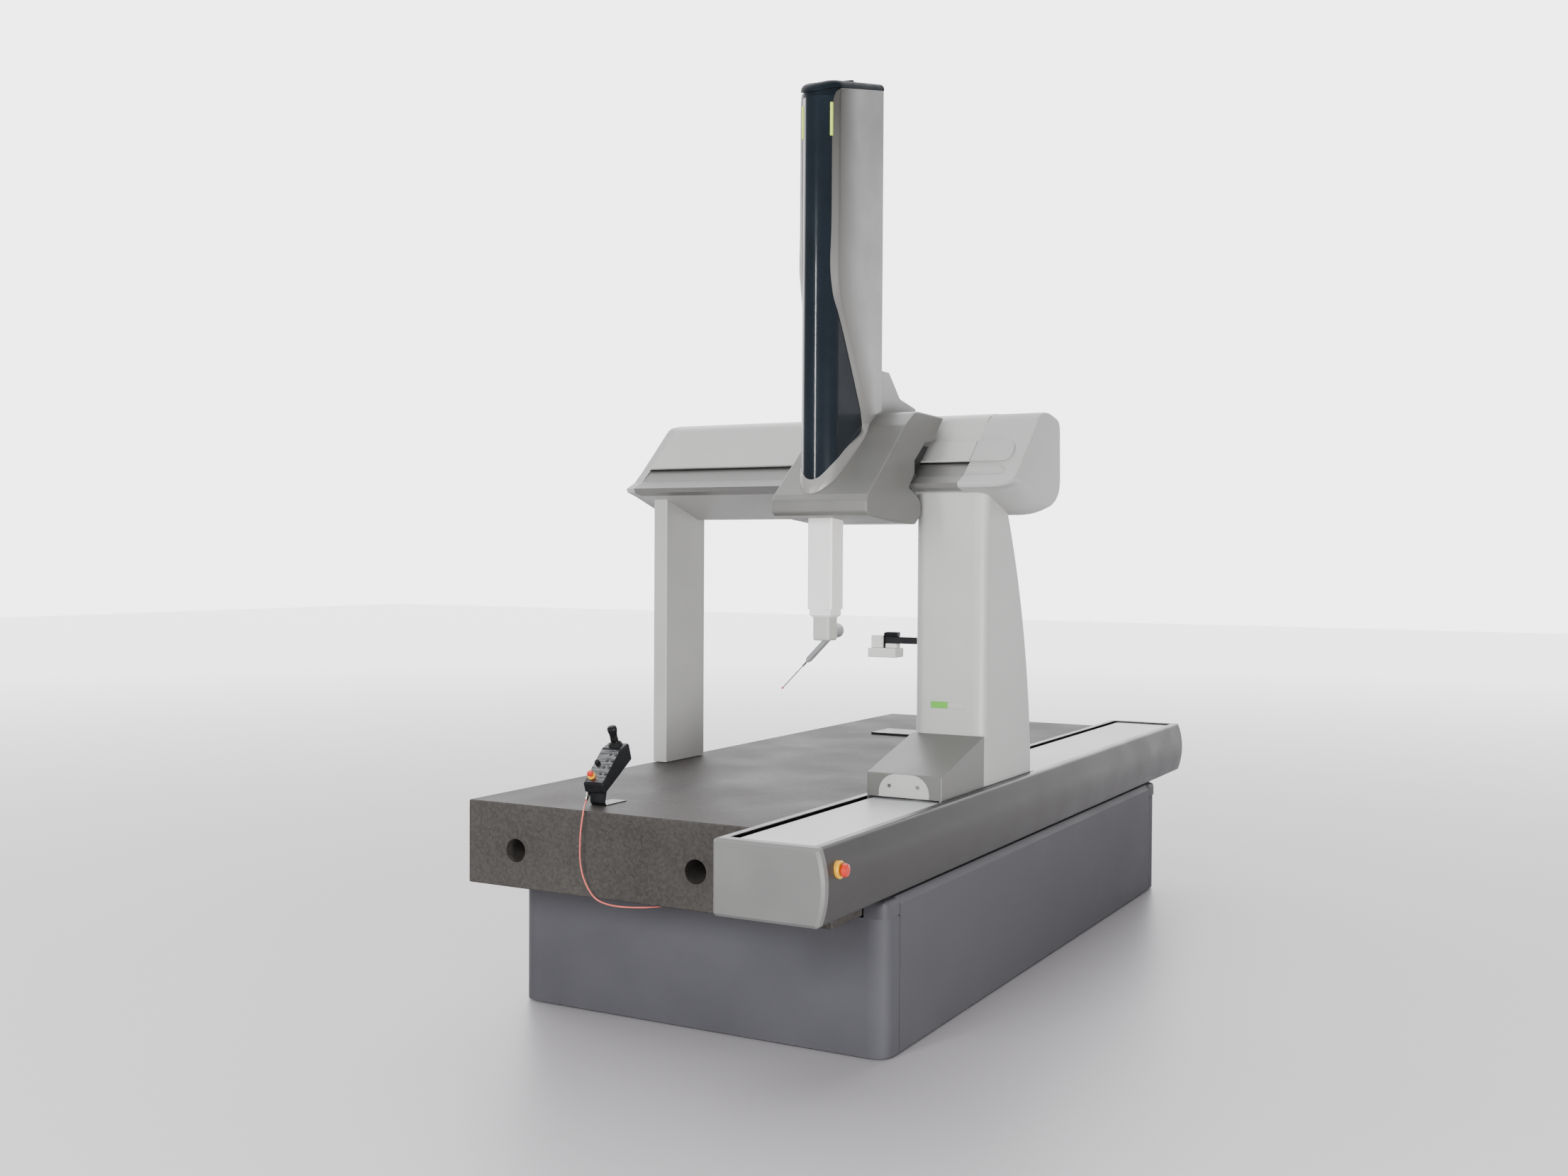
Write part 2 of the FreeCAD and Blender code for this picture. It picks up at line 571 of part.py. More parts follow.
def build_y_drive():
    left = p.y_drive_x - p.pulley_width / 2
    front_axle = granite_front - p.y_drive_end
    back_axle = granite_back + p.y_drive_end
    for label, y in (("y_drive_pulley", front_axle), ("y_idler_pulley", back_axle)):
        wheel = new_body(label)
        rod(wheel, "Additive", ALONG_X, left, y, p.y_drive_z, p.pulley_r, p.pulley_width)
        for x in (left, left + p.pulley_width - p.flange_sheet):
            rod(wheel, "Additive", ALONG_X, x, y, p.y_drive_z, p.pulley_r + p.pulley_flange, p.flange_sheet)
        rod(wheel, "Subtractive", ALONG_X, left - 1, y, p.y_drive_z, p.axle_r + 0.05, p.pulley_width + 2)
    belt = new_body("y_belt")
    inner = p.pulley_r + p.belt_gap
    outer = inner + p.belt_sheet
    for radius, build, low, high in ((outer, pad, 0, 0), (inner, pocket, -1, 1)):
        build(belt, "YZ_Plane", p.y_drive_x - p.belt_width / 2 + low, p.y_drive_x + p.belt_width / 2 + high,
              [(front_axle, p.y_drive_z - radius), (back_axle, p.y_drive_z - radius),
               (back_axle, p.y_drive_z + radius), (front_axle, p.y_drive_z + radius)],
              {1: (radius, 1), 3: (radius, 1)})
    motor = new_body("y_motor")
    face = left - 2
    rod(motor, "Additive", ALONG_X, face - p.motor_length, front_axle, p.y_drive_z, p.motor_r, p.motor_length)
    rod(motor, "Additive", ALONG_X, face - 2, front_axle, p.y_drive_z, p.axle_r, p.pulley_width + 8)
    box(motor, "Additive", face - p.motor_length * 0.8, face - p.bracket_plate * 4, front_axle, granite_front,
        p.y_drive_z - p.bracket_height / 2, p.y_drive_z + p.bracket_height / 2 - 30)
    box(motor, "Additive", face - p.motor_length * 0.8, face - p.bracket_plate * 4, front_axle, granite_front,
        p.shoulder_z - 70, p.shoulder_z - 10)
    mount = new_body("y_idler_mount")
    box(mount, "Additive", p.granite_right_x - 70, p.granite_right_x - 20, granite_back, back_axle + 20,
        p.shoulder_z - 70, p.shoulder_z - 10)
    box(mount, "Additive", p.granite_right_x - 70, face, back_axle - 20, back_axle + 20, p.shoulder_z - 30,
        p.y_drive_z + 20)
    rod(mount, "Additive", ALONG_X, face - 2, back_axle, p.y_drive_z, p.axle_r, p.pulley_width + 8)


def build_y_saddle():
    front, back = p.foot_front_y, p.column_rear_y
    body = new_body("y_saddle")
    low = p.saddle_top_z - p.saddle_plate
    pad_high = p.pad_height + p.air_gap
    inner_face = p.shoulder_x + pad_high
    box(body, "Additive", inner_face, p.foot_right_x, front, back, low, p.saddle_top_z)
    box(body, "Additive", inner_face, inner_face + p.drop_plate, front, back, low - p.saddle_plate, low)
    box(body, "Additive", p.foot_left_x, p.foot_left_x + p.web, front, back, p.saddle_top_z, p.foot_z)
    box(body, "Additive", p.foot_right_x - p.web, p.foot_right_x, front, back, p.saddle_top_z, p.foot_z)
    middle = (front + back) / 2
    box(body, "Additive", p.drop_x, p.drop_x + p.drop_plate, front, back, p.drop_z, low)
    run_low = p.y_drive_z - p.pulley_r - p.belt_gap - p.belt_sheet
    clamp_right = p.y_drive_x + p.belt_width / 2
    box(body, "Additive", p.drop_x, clamp_right, middle - 60, middle + 60, run_low - 12 - p.belt_gap,
        run_low - p.belt_gap)
    box(body, "Additive", p.drop_x, clamp_right, middle - 60, middle + 60, run_low + p.belt_sheet + p.belt_gap,
        run_low + p.belt_sheet + p.belt_gap + 12)
    pads = []
    length = back - front
    for share in (0.1, 0.9):
        y = front + length * share
        for x, reach in ((p.shoulder_x + (p.drop_x - p.shoulder_x) / 2, low - p.shoulder_z - p.air_gap),):
            pads.append(air_pad(ALONG_Z, x, y, p.shoulder_z + p.air_gap, reach, p.pad_r))
        side_z = p.saddle_top_z - p.saddle_plate - 2
        pads.append(air_pad(ALONG_X, p.shoulder_x + p.air_gap, y, side_z, p.pad_height, p.pad_r * 0.8))
        pads.append(air_pad(ALONG_X, p.granite_right_x + p.air_gap, y, p.shoulder_z - p.pad_r - 14,
                            p.drop_x - p.granite_right_x - p.air_gap, p.pad_r))
    group("y_air_pads", pads)


def air_pad(way, x, y, z, reach, radius):
    """Round porous pad that faces back along its own axis, with a ball stud up to its seat."""
    piece = helper_body("air_pad")
    rod(piece, "Additive", way, x, y, z, radius, p.pad_height)
    if as_size(reach).number > p.pad_height.number:
        rod(piece, "Additive", way, x, y, z, p.pad_stud_r, reach)
    return piece


def build_column():
    seam, back = p.column_seam_y, p.column_rear_y
    left, right = p.foot_left_x, p.foot_right_x
    throat = (p.throat_y, p.throat_z)
    belly = (p.belly_y, p.belly_z)
    slope = (p.throat_z - p.belly_z) / (p.belly_y - p.throat_y)
    front_top = p.throat_z - (p.column_front_y - p.throat_y) * slope
    seam_top = p.throat_z - (seam - p.throat_y) * slope
    rear_top = p.throat_z - (p.column_top_rear_y - p.throat_y) * slope
    front = new_body("right_column")
    pad(front, "YZ_Plane", left, right, [
        (p.column_front_y, p.foot_z), (seam, p.foot_z), (seam, seam_top), (p.column_front_y, front_top)])
    fillet(front, p.column_edge, lambda a, b: along((0, 0, 1))(a, b) and near(a.y, p.column_front_y))
    hollow(front, p.column_wall, lambda centre, normal: abs(normal.z) > 0.9 or normal.y > 0.99)
    rear = new_body("column_rear_cover")
    pad(rear, "YZ_Plane", left, right, [
        (seam, p.foot_z), (back, p.foot_z), (p.column_top_rear_y, rear_top), (seam, seam_top)],
        {1: (p.column_curve_r, 1)})
    chamfer(rear, p.rear_cover_edge, lambda a, b: min(a.y, b.y) > p.column_top_rear_y.number - 1
            and abs(a.x - b.x) < 0.01 and abs(a.z - b.z) > 100)
    for wall, step in ((p.rear_cover_wall, p.rear_cover_edge * 1.2),
                       (p.rear_cover_edge * 1.1, p.rear_cover_wall * 2)):
        pocket(rear, "YZ_Plane", left + wall, right - wall, [
            (seam - 1, p.foot_z - 1), (back - step, p.foot_z - 1), (p.column_top_rear_y - step, p.throat_z),
            (seam - 1, p.throat_z)], {1: (p.column_curve_r, 1)})
    shroud = new_body("column_shroud")
    pad(shroud, "YZ_Plane", left, right, [
        (p.foot_front_y, p.foot_z), (p.column_front_y, p.foot_z), (p.column_front_y, p.foot_z + p.shroud_high),
        (p.foot_front_y, p.foot_z + p.shroud_low)])
    fillet(shroud, p.shroud_edge, lambda a, b: near(a.y, p.foot_front_y) and near(b.y, p.foot_front_y)
           and max(a.z, b.z) > p.foot_z.number + 1)
    wall = p.shroud_wall
    pocket(shroud, "YZ_Plane", left + wall, right - wall, [
        (p.foot_front_y + wall, p.foot_z - 1), (p.column_front_y + 1, p.foot_z - 1),
        (p.column_front_y + 1, p.foot_z + p.shroud_high - wall * 1.5),
        (p.foot_front_y + wall, p.foot_z + p.shroud_low - wall)])
    hatch = new_body("hatch_plate")
    middle = (left + right) / 2
    low = p.foot_z + 1
    pad(hatch, "XZ_Plane", p.foot_front_y - p.hatch_sheet, p.foot_front_y, [
        (middle - p.hatch_width / 2, low), (middle + p.hatch_width / 2, low),
        (middle + p.hatch_width / 2, low + p.hatch_height - p.hatch_corner),
        (middle + p.hatch_width / 2 - p.hatch_corner, low + p.hatch_height),
        (middle - p.hatch_width / 2 + p.hatch_corner, low + p.hatch_height),
        (middle - p.hatch_width / 2, low + p.hatch_height - p.hatch_corner)],
        {2: (p.hatch_corner, 1), 4: (p.hatch_corner, 1)})
    leg = new_body("left_leg")
    leg_slope = (p.leg_front_y - p.throat_y) * slope
    leg_back = (p.leg_rear_y - p.belly_y)
    pad(leg, "YZ_Plane", p.granite_left, p.granite_left + p.leg_width, [
        (p.leg_front_y, p.granite_top_z + p.leg_gap), (p.leg_rear_y, p.granite_top_z + p.leg_gap),
        (p.leg_rear_y, between(belly, (p.belly_rear_y, p.belly_rear_z), leg_back / (p.belly_rear_y - p.belly_y))[1]),
        belly, (p.leg_front_y, p.throat_z - leg_slope)])
    fillet(leg, p.leg_wall, lambda a, b: along((0, 0, 1))(a, b))
    pads = []
    for y in (p.leg_front_y + p.leg_pad_inset, p.leg_rear_y - p.leg_pad_inset):
        x = p.granite_left + p.leg_width / 2
        rod(leg, "Subtractive", ALONG_Z, x, y, p.granite_top_z + p.leg_gap - 1, p.leg_pad_r + 1, p.leg_pocket)
        piece = helper_body("leg_pad")
        rod(piece, "Additive", ALONG_Z, x, y, p.granite_top_z + p.air_gap, p.leg_pad_r, p.leg_pad_height)
        rod(piece, "Additive", ALONG_Z, x, y, p.granite_top_z + p.air_gap, p.pad_stud_r,
            p.leg_gap - p.air_gap + p.leg_pocket - 1)
        pads.append(piece)
    group("leg_air_pads", pads)


def beam_outline():
    return [(p.nose_y, p.nose_z), (p.nose_under_y, p.nose_under_z), (p.throat_y, p.throat_z), (p.belly_y, p.belly_z),
            (p.belly_rear_y, p.belly_rear_z), (p.back_y, p.back_low_z), (p.back_top_y, p.back_top_z),
            (p.crown_y, p.crown_z), (p.crown_front_y, p.crown_front_z), (p.slope_foot_y, p.slope_foot_z),
            (p.guide_y, p.guide_z)]


def round_back(body, gap):
    """Rounds the corners behind the crown and under the back, tighter by the gap of an inner piece."""
    inside = as_size(gap).number
    corners = ((p.belly_rear_y, 60), (p.back_y, 50), (p.back_top_y, 60), (p.crown_y, 80), (p.crown_front_y, 80))

    def at(bound):
        def test(a, b):
            return along((1, 0, 0))(a, b) and abs(a.y - bound.number) < inside + 1.5 and abs(a.y - b.y) < 0.01
        return test
    for bound, radius in corners:
        def chosen(a, b, bound=bound):
            keep = at(bound)(a, b)
            return keep and (bound is not p.back_y or a.z < p.back_top_z.number - 60) and (
                bound is not p.back_top_y or a.z > p.back_low_z.number + 60)
        fillet(body, as_size(radius) - as_size(gap) * 0.5, chosen)


def hollow_beam(body, start, stop, wall):
    """Long cavity of the beam, clear of its rounded corners."""
    slope_foot, crown_front = (p.slope_foot_y, p.slope_foot_z), (p.crown_front_y, p.crown_front_z)
    throat, belly = (p.throat_y, p.throat_z), (p.belly_y, p.belly_z)
    inset = wall + 8
    pocket(body, "YZ_Plane", start, stop, [
        beside(throat, belly, 0.25, inset), beside(throat, belly, 0.97, inset),
        (p.belly_rear_y - inset * 0.6, p.belly_rear_z + inset * 1.2),
        (p.back_y - inset, p.back_low_z + inset * 0.8), (p.back_top_y - inset * 1.4, p.back_top_z - inset * 1.6),
        (p.crown_y, p.crown_z - inset), beside(slope_foot, crown_front, 0.95, -inset),
        beside(slope_foot, crown_front, 0.1, -inset)])


def build_beam():
    start = p.beam_left_x + p.left_cap
    stop = p.beam_right_x - p.right_cap
    slope_foot, crown_front = (p.slope_foot_y, p.slope_foot_z), (p.crown_front_y, p.crown_front_z)
    cover = new_body("beam_cover")
    pad(cover, "YZ_Plane", start, stop, beam_outline())
    round_back(cover, 0)
    hollow(cover, p.beam_cover_wall, ends_along((1, 0, 0)))
    lip = beside(slope_foot, crown_front, 0.03, 30)
    lip_in = beside(slope_foot, crown_front, 0.03, -30)
    pocket(cover, "YZ_Plane", start - 1, stop + 1, [
        (p.nose_y - 20, p.nose_under_z - 30), (p.throat_y, p.throat_z - 30), (p.throat_y, p.throat_z + 20), lip_in, lip,
        (p.nose_y - 20, p.nose_z + 30)])
    gap = p.beam_gap
    core = new_body("beam")
    pad(core, "YZ_Plane", start, stop, [
        (p.nose_y, p.nose_z), (p.nose_under_y, p.nose_under_z), (p.throat_y, p.throat_z),
        (p.throat_y, p.throat_z + gap), (p.belly_y, p.belly_z + gap), (p.belly_rear_y - gap / 2, p.belly_rear_z + gap),
        (p.back_y - gap, p.back_low_z + gap / 2), (p.back_top_y - gap, p.back_top_z - gap), (p.crown_y, p.crown_z - gap),
        beside(slope_foot, crown_front, 0.98, -gap), beside(slope_foot, crown_front, 0.04, -gap),
        (p.slope_foot_y, p.slope_foot_z - gap), (p.guide_y, p.guide_z)])
    round_back(core, gap)
    hollow_beam(core, start - 1, stop + 1, p.beam_wall)
    ledge = new_body("beam_ledge")
    top = p.ledge_rise / (p.crown_front_z - p.slope_foot_z)
    low = 0.035
    pad(ledge, "YZ_Plane", start, p.beam_right_x - p.cap_edge * 2, [
        beside(slope_foot, crown_front, low, 0), beside(slope_foot, crown_front, top + 0.04, 0),
        beside(slope_foot, crown_front, top, p.ledge_proud), beside(slope_foot, crown_front, low, p.ledge_proud)])
    for label, begin, end in (("beam_left_cap", p.beam_left_x, start), ("beam_right_cap", stop, p.beam_right_x)):
        cap = new_body(label)
        pad(cap, "YZ_Plane", begin, end, beam_outline())
        round_back(cap, 0)
        outside = p.beam_left_x if label == "beam_left_cap" else p.beam_right_x
        fillet(cap, p.cap_edge / 3, lambda a, b: near(a.x, outside) and near(b.x, outside))
        low, high = (begin + p.cap_wall * 2, end + 1) if label == "beam_left_cap" else (begin - 1, end - p.cap_wall * 2)
        hollow_beam(cap, low, high, p.cap_wall)


def build_carriage():
    left, right = p.carriage_left_x, p.carriage_right_x
    cover = new_body("carriage_cover")
    outline = [
        (p.roll_y, p.roll_low_z), (p.sole_front_y, p.sole_front_z), (p.sole_y, p.sole_z),
        (p.lobe_foot_y, p.lobe_foot_z), (p.lobe_y, p.lobe_low_z), (p.lobe_y, p.lobe_high_z),
        (p.lobe_top_y, p.lobe_top_z), (p.jaw_y, p.jaw_z), (p.throat_in_y, p.throat_low_z),
        (p.throat_in_y, p.throat_high_z), (p.notch_in_y, p.notch_in_z), (p.notch_y, p.notch_z),
        (p.carriage_rear_y, p.carriage_rear_z), (p.carriage_top_y, p.carriage_top_z),
        (p.shoulder_y, p.shoulder_top_z), (p.brow_y, p.brow_z), (p.roll_y, p.roll_high_z)]
    pad(cover, "YZ_Plane", left, right, outline)

    def corner(y, z):
        return lambda a, b: along((1, 0, 0))(a, b) and near(a.y, y) and near(a.z, z)
    for y, z, radius in ((p.lobe_foot_y, p.lobe_foot_z, 24), (p.lobe_y, p.lobe_low_z, 22), (p.lobe_y, p.lobe_high_z, 16),
                         (p.shoulder_y, p.shoulder_top_z, 90), (p.carriage_top_y, p.carriage_top_z, 90),
                         (p.roll_y, p.roll_low_z, 14), (p.roll_y, p.roll_high_z, 20)):
        fillet(cover, radius, corner(y, z))
    fillet(cover, p.carriage_edge, lambda a, b: (near(a.x, left) and near(b.x, left)) or (
        near(a.x, right) and near(b.x, right)))

    wall, low_wall = p.carriage_wall * 2, p.carriage_wall * 3
    pocket(cover, "YZ_Plane", left + wall, right - wall, [
        (p.roll_y + low_wall, p.roll_low_z + low_wall), (p.sole_y, p.sole_z + wall),
        (p.lobe_foot_y - wall, p.lobe_foot_z + low_wall), (p.lobe_y - low_wall, p.lobe_low_z + 4),
        (p.lobe_y - low_wall, p.lobe_high_z), (p.lobe_top_y, p.lobe_top_z + 8),
        (p.throat_in_y + wall, p.throat_low_z - wall), (p.throat_in_y + wall, p.throat_high_z),
        (p.notch_in_y + 2, p.notch_in_z - 4), (p.notch_in_y + 2, p.notch_in_z + wall),
        (p.notch_y - wall, p.notch_z + wall),
        (p.carriage_rear_y - low_wall * 2, p.carriage_rear_z - wall), (p.carriage_top_y, p.carriage_top_z - wall),
        (p.shoulder_y + wall, p.shoulder_top_z - wall), (p.brow_y + low_wall, p.brow_z - wall)])
    clear = p.housing_gap + p.housing_wall + 3
    ram_left = p.tower_x - p.ram_width / 2
    ram_back = p.ram_front_y + p.ram_width
    box(cover, "Subtractive", ram_left - 4, ram_left + p.ram_width + 4, p.ram_front_y - 4, ram_back + 4,
        p.sole_z - 10, p.sole_front_z + 30)
    box(cover, "Subtractive", ram_left - clear, ram_left + p.ram_width + clear, p.ram_front_y - clear, ram_back + clear,
        p.brow_z, p.shoulder_top_z + 20)
    box(cover, "Subtractive", ram_left - clear, ram_left + p.ram_width + clear, p.ram_front_y - clear, ram_back + clear,
        p.sole_front_z + 5, p.brow_z + 1)
    saddle = new_body("x_saddle")
    nose, under = (p.nose_y, p.nose_z), (p.nose_under_y, p.nose_under_z)
    throat, guide, foot = (p.throat_y, p.throat_z), (p.guide_y, p.guide_z), (p.slope_foot_y, p.slope_foot_z)
    crown = (p.crown_front_y, p.crown_front_z)
    reach = p.saddle_gap
    wall = p.carriage_wall + 1
    inset = 16
    pad(saddle, "YZ_Plane", left + inset, right - inset, [
        beside(nose, guide, -0.35, reach), (p.nose_y - reach, p.throat_z - 8), beside(under, throat, 0.3, -reach),
        (p.lobe_y - wall * 3, p.lobe_high_z), (p.lobe_foot_y - wall * 3, p.lobe_foot_z + wall * 4),
        (ram_back + 20, p.sole_z + wall * 4), (ram_back + 20, p.brow_z + 30),
        (p.shoulder_y, p.shoulder_top_z - wall * 4), (p.carriage_top_y, p.carriage_top_z - wall * 4),
        (p.notch_in_y - wall, p.carriage_top_z - wall * 6), (p.notch_in_y - wall, p.notch_in_z - wall),
        beside(foot, crown, 0.25, reach), beside(foot, crown, 0.05, reach), beside(nose, guide, 0.9, reach)])
    pads = []
    width = p.pad_r * 2
    thick = p.pad_height + p.air_gap
    for x in (left + inset + 6, right - inset - 6 - width):
        upper = helper_body("x_pad")
        pad(upper, "YZ_Plane", x, x + width, [
            beside(nose, guide, 0.2, p.air_gap), beside(nose, guide, 0.9, p.air_gap), beside(nose, guide, 0.9, thick),
            beside(nose, guide, 0.62, thick), beside(nose, guide, 0.62, reach), beside(nose, guide, 0.45, reach),
            beside(nose, guide, 0.45, thick), beside(nose, guide, 0.2, thick)])
        lower = helper_body("x_pad")
        pad(lower, "YZ_Plane", x, x + width, [
            beside(under, throat, 0.1, -p.air_gap), beside(under, throat, 0.1, -thick), beside(under, throat, 0.35, -thick),
            beside(under, throat, 0.35, -reach), beside(under, throat, 0.6, -reach), beside(under, throat, 0.6, -thick),
            beside(under, throat, 0.9, -thick), beside(under, throat, 0.9, -p.air_gap)])
        pads += [upper, lower]
    group("x_air_pads", pads)
    housing = new_body("ram_housing")
    gap, grow = p.housing_gap, p.housing_gap + p.housing_wall
    box(housing, "Additive", ram_left - grow, ram_left + p.ram_width + grow, p.ram_front_y - grow, ram_back + grow,
        p.sole_front_z + 6, p.housing_top_z)
    fillet(housing, p.housing_wall, along((0, 0, 1)))
    box(housing, "Additive", ram_left, ram_left + p.ram_width, ram_back + grow - 4, ram_back + 20,
        p.sole_front_z + 20, p.brow_z + 20)
    box(housing, "Subtractive", ram_left - gap, ram_left + p.ram_width + gap, p.ram_front_y - gap, ram_back + gap,
        p.sole_front_z, p.housing_top_z + 1)


def prow(half, side_y, nose_y, back):
    """Plan outline of the tower's convex front: straight sides, one arc across the nose."""
    rise = as_size(side_y) - nose_y
    radius = (half * half + rise * rise) / (rise * 2)
    middle = p.tower_x
    return [(middle + half, back), (middle - half, back), (middle - half, side_y), (middle + half, side_y)], {
        2: (radius, 1)}


def on_circle(middle_x, middle_y, radius, way, y):
    """Point of a round plan outline at one y, on the side that way names."""
    drop = y.number - as_size(middle_y).number
    reach = (as_size(radius).number ** 2 - drop ** 2) ** 0.5
    return middle_x + reach * way, y


def build_tower():
    middle, half = p.tower_x, p.tower_half
    brow = (p.brow_y, p.brow_z)
    shoulder = (p.shoulder_y, p.shoulder_top_z)
    top = (p.carriage_top_y, p.carriage_top_z)
    rear = (p.carriage_rear_y, p.carriage_rear_z)
    lift = p.air_gap
    panel = new_body("tower_front_panel")
    sides = p.sweep_foot_y - 4
    outline, arcs = prow(p.panel_half, p.panel_side_y, p.panel_nose_y, sides)
    pad(panel, "XY_Plane", p.brow_z, p.panel_top_z, outline, arcs)
    inner, inner_arcs = prow(p.panel_half - p.panel_wall, p.panel_side_y + 1, p.panel_nose_y + p.panel_wall, sides + 1)
    pocket(panel, "XY_Plane", p.brow_z - 1, p.panel_top_z + 1, inner, inner_arcs)
    pocket(panel, "YZ_Plane", middle - half, middle + half, [
        (p.cover_front_y + 40, p.panel_top_z + 1), (p.cover_front_y + 40, p.swoop_top_z),
        (p.sweep_y + 36, p.sweep_z + 40), (sides + 2, p.sweep_foot_z), (sides + 2, p.panel_top_z + 1)])
    pocket(panel, "YZ_Plane", middle - half, middle + half, [
        beside(brow, shoulder, -0.3, lift), beside(brow, shoulder, -0.3, -200), beside(brow, shoulder, 1.1, -200),
        beside(brow, shoulder, 1.1, lift)])
    collar = new_body("tower_collar")
    skirt = half + 0.5
    back = p.sweep_foot_y - 45
    outline, arcs = prow(skirt, p.panel_side_y, p.panel_nose_y - 22, back)
    pad(collar, "XY_Plane", p.brow_z, p.shoulder_top_z + 50, outline, arcs)
    pocket(collar, "YZ_Plane", middle - half * 2, middle + half * 2, [
        (p.panel_nose_y - 60, p.collar_tip_z - 30), (p.panel_nose_y, p.collar_tip_z),
        (p.sweep_foot_y + 10, p.sweep_foot_z - 4), (p.sweep_foot_y + 10, p.sweep_foot_z + 400),
        (p.panel_nose_y - 60, p.sweep_foot_z + 400)])
    pocket(collar, "YZ_Plane", middle - half * 2, middle + half * 2, [
        beside(brow, shoulder, -0.4, lift), beside(brow, shoulder, -0.4, -200), beside(brow, shoulder, 1.2, -200),
        beside(brow, shoulder, 1.2, lift)])
    inner, inner_arcs = prow(p.panel_half + p.air_gap, p.panel_side_y, p.panel_nose_y - p.air_gap, back + 5)
    pocket(collar, "XY_Plane", p.brow_z - 5, p.shoulder_top_z + 60, inner, inner_arcs)
    inner_r = p.panel_half + p.air_gap
    for label, low, high, way in (("tower_left_cover", middle - half, middle - half + p.side_depth, -1),
                                  ("tower_right_cover", middle + half - p.side_depth, middle + half, 1)):
        plate = new_body(label)
        pad(plate, "YZ_Plane", low, high, [
            (p.cover_wrap_y, p.cover_front_top_z), (p.cover_wrap_y, p.swoop_z), (p.sweep_y, p.sweep_z),
            (p.sweep_foot_y, p.sweep_foot_z),
            beside(brow, shoulder, 0.985, lift), beside(shoulder, top, 0.0, lift), beside(shoulder, top, 0.98, lift),
            (p.tower_rear_y, p.carriage_top_z + lift), (p.tower_rear_y, p.side_top_rear_z),
            (p.cover_front_y + p.side_depth * 2, p.side_top_front_z + 4)], {2: (p.sweep_foot_r, 1)})
        outer = low if label == "tower_left_cover" else high
        bevel = chamfer(plate, p.sweep_bevel, lambda a, b: near(a.x, outer) and near(b.x, outer)
                        and min(a.z, b.z) > p.sweep_foot_z.number - 5 and max(a.z, b.z) < p.swoop_z.number + 5
                        and max(a.y, b.y) < p.sweep_foot_y.number + 5)
        bevel.ChamferType = "Two distances"
        bevel.FlipDirection = True
        bind(bevel, "Size2", p.side_depth - 1)
        doc.recompute()
        wrap = [(outer, p.cover_wrap_y + 7), (outer, p.cover_wrap_y), (middle + p.wrap_tip_half * way, p.wrap_tip_y),
                on_circle(middle, p.panel_side_y + 2, inner_r, way, p.wrap_tip_y + 2),
                on_circle(middle, p.panel_side_y + 2, inner_r, way, p.cover_wrap_y + 7)]
        pad(plate, "XY_Plane", p.wrap_low_z, p.cover_front_top_z, wrap, {3: (inner_r, way)})
        pocket(plate, "YZ_Plane", middle - half * 2, middle + half * 2, [
            (p.wrap_tip_y - 10, p.wrap_low_z - 5), (p.cover_wrap_y + 8, p.wrap_low_z - 5),
            (p.cover_wrap_y + 8, p.swoop_z - 13), (p.cover_wrap_y, p.swoop_z), (p.wrap_tip_y + 8, p.swoop_z + 25),
            (p.wrap_tip_y, p.swoop_z + 67), (p.wrap_tip_y - 10, p.swoop_z + 130)])
    cover = new_body("tower_rear_cover")
    box(cover, "Additive", middle - half + p.side_depth, middle + half - p.side_depth, p.tower_rear_y - p.panel_wall,
        p.tower_rear_y, p.carriage_top_z + lift, p.side_top_rear_z - 20)
    cap = new_body("tower_top_cap")
    outline, arcs = prow(p.panel_half, p.panel_side_y, p.panel_nose_y, p.tower_rear_y - p.panel_wall)
    pad(cap, "XY_Plane", p.panel_top_z, p.cap_rear_z + 40, outline, arcs)
    pocket(cap, "YZ_Plane", middle - half, middle + half, [
        (p.panel_nose_y - 5, p.cap_front_z), (p.cap_curve_y, p.cap_curve_z), (p.tower_rear_y - 90, p.cap_rear_z - 16),
        (p.tower_rear_y + 5, p.cap_rear_z), (p.tower_rear_y + 5, p.cap_rear_z + 80),
        (p.panel_nose_y - 5, p.cap_rear_z + 80)])
    wall = p.panel_wall * 2
    pocket(cap, "YZ_Plane", middle - p.panel_half + wall, middle + p.panel_half - wall, [
        (p.cap_curve_y, p.panel_top_z - 1), (p.tower_rear_y - wall, p.panel_top_z - 1),
        (p.tower_rear_y - wall, p.cap_rear_z - p.cap_rear_drop), (p.cap_curve_y, p.cap_curve_z - p.cap_rear_drop)])
    hump = new_body("carriage_hump")
    low_z = between(top, rear, 0.12)[1] + lift
    pad(hump, "YZ_Plane", middle - p.hump_half, middle + p.hump_half, [
        (p.tower_rear_y + lift, low_z), (p.carriage_rear_y, p.carriage_rear_z + lift),
        (p.hump_step_y, p.hump_under_z), (p.hump_rear_y, p.hump_under_z), (p.hump_rear_y, p.hump_rear_z),
        (p.hump_mid_y, p.hump_mid_z), (p.hump_top_y, p.hump_top_z), (p.tower_rear_y + lift, p.hump_top_z)])
    fillet(hump, 14, lambda a, b: along((1, 0, 0))(a, b) and (near(a.y, p.hump_top_y) or near(a.y, p.hump_mid_y)))
    pocket(hump, "YZ_Plane", middle - p.hump_half + wall, middle + p.hump_half - wall, [
        (p.tower_rear_y + wall, low_z - 5), (p.carriage_rear_y, p.carriage_rear_z - 5),
        (p.hump_step_y, p.hump_under_z + wall), (p.hump_mid_y, p.hump_mid_z - wall * 1.5),
        (p.hump_top_y - wall, p.hump_top_z - wall * 1.5), (p.tower_rear_y + wall, p.hump_top_z - wall)])


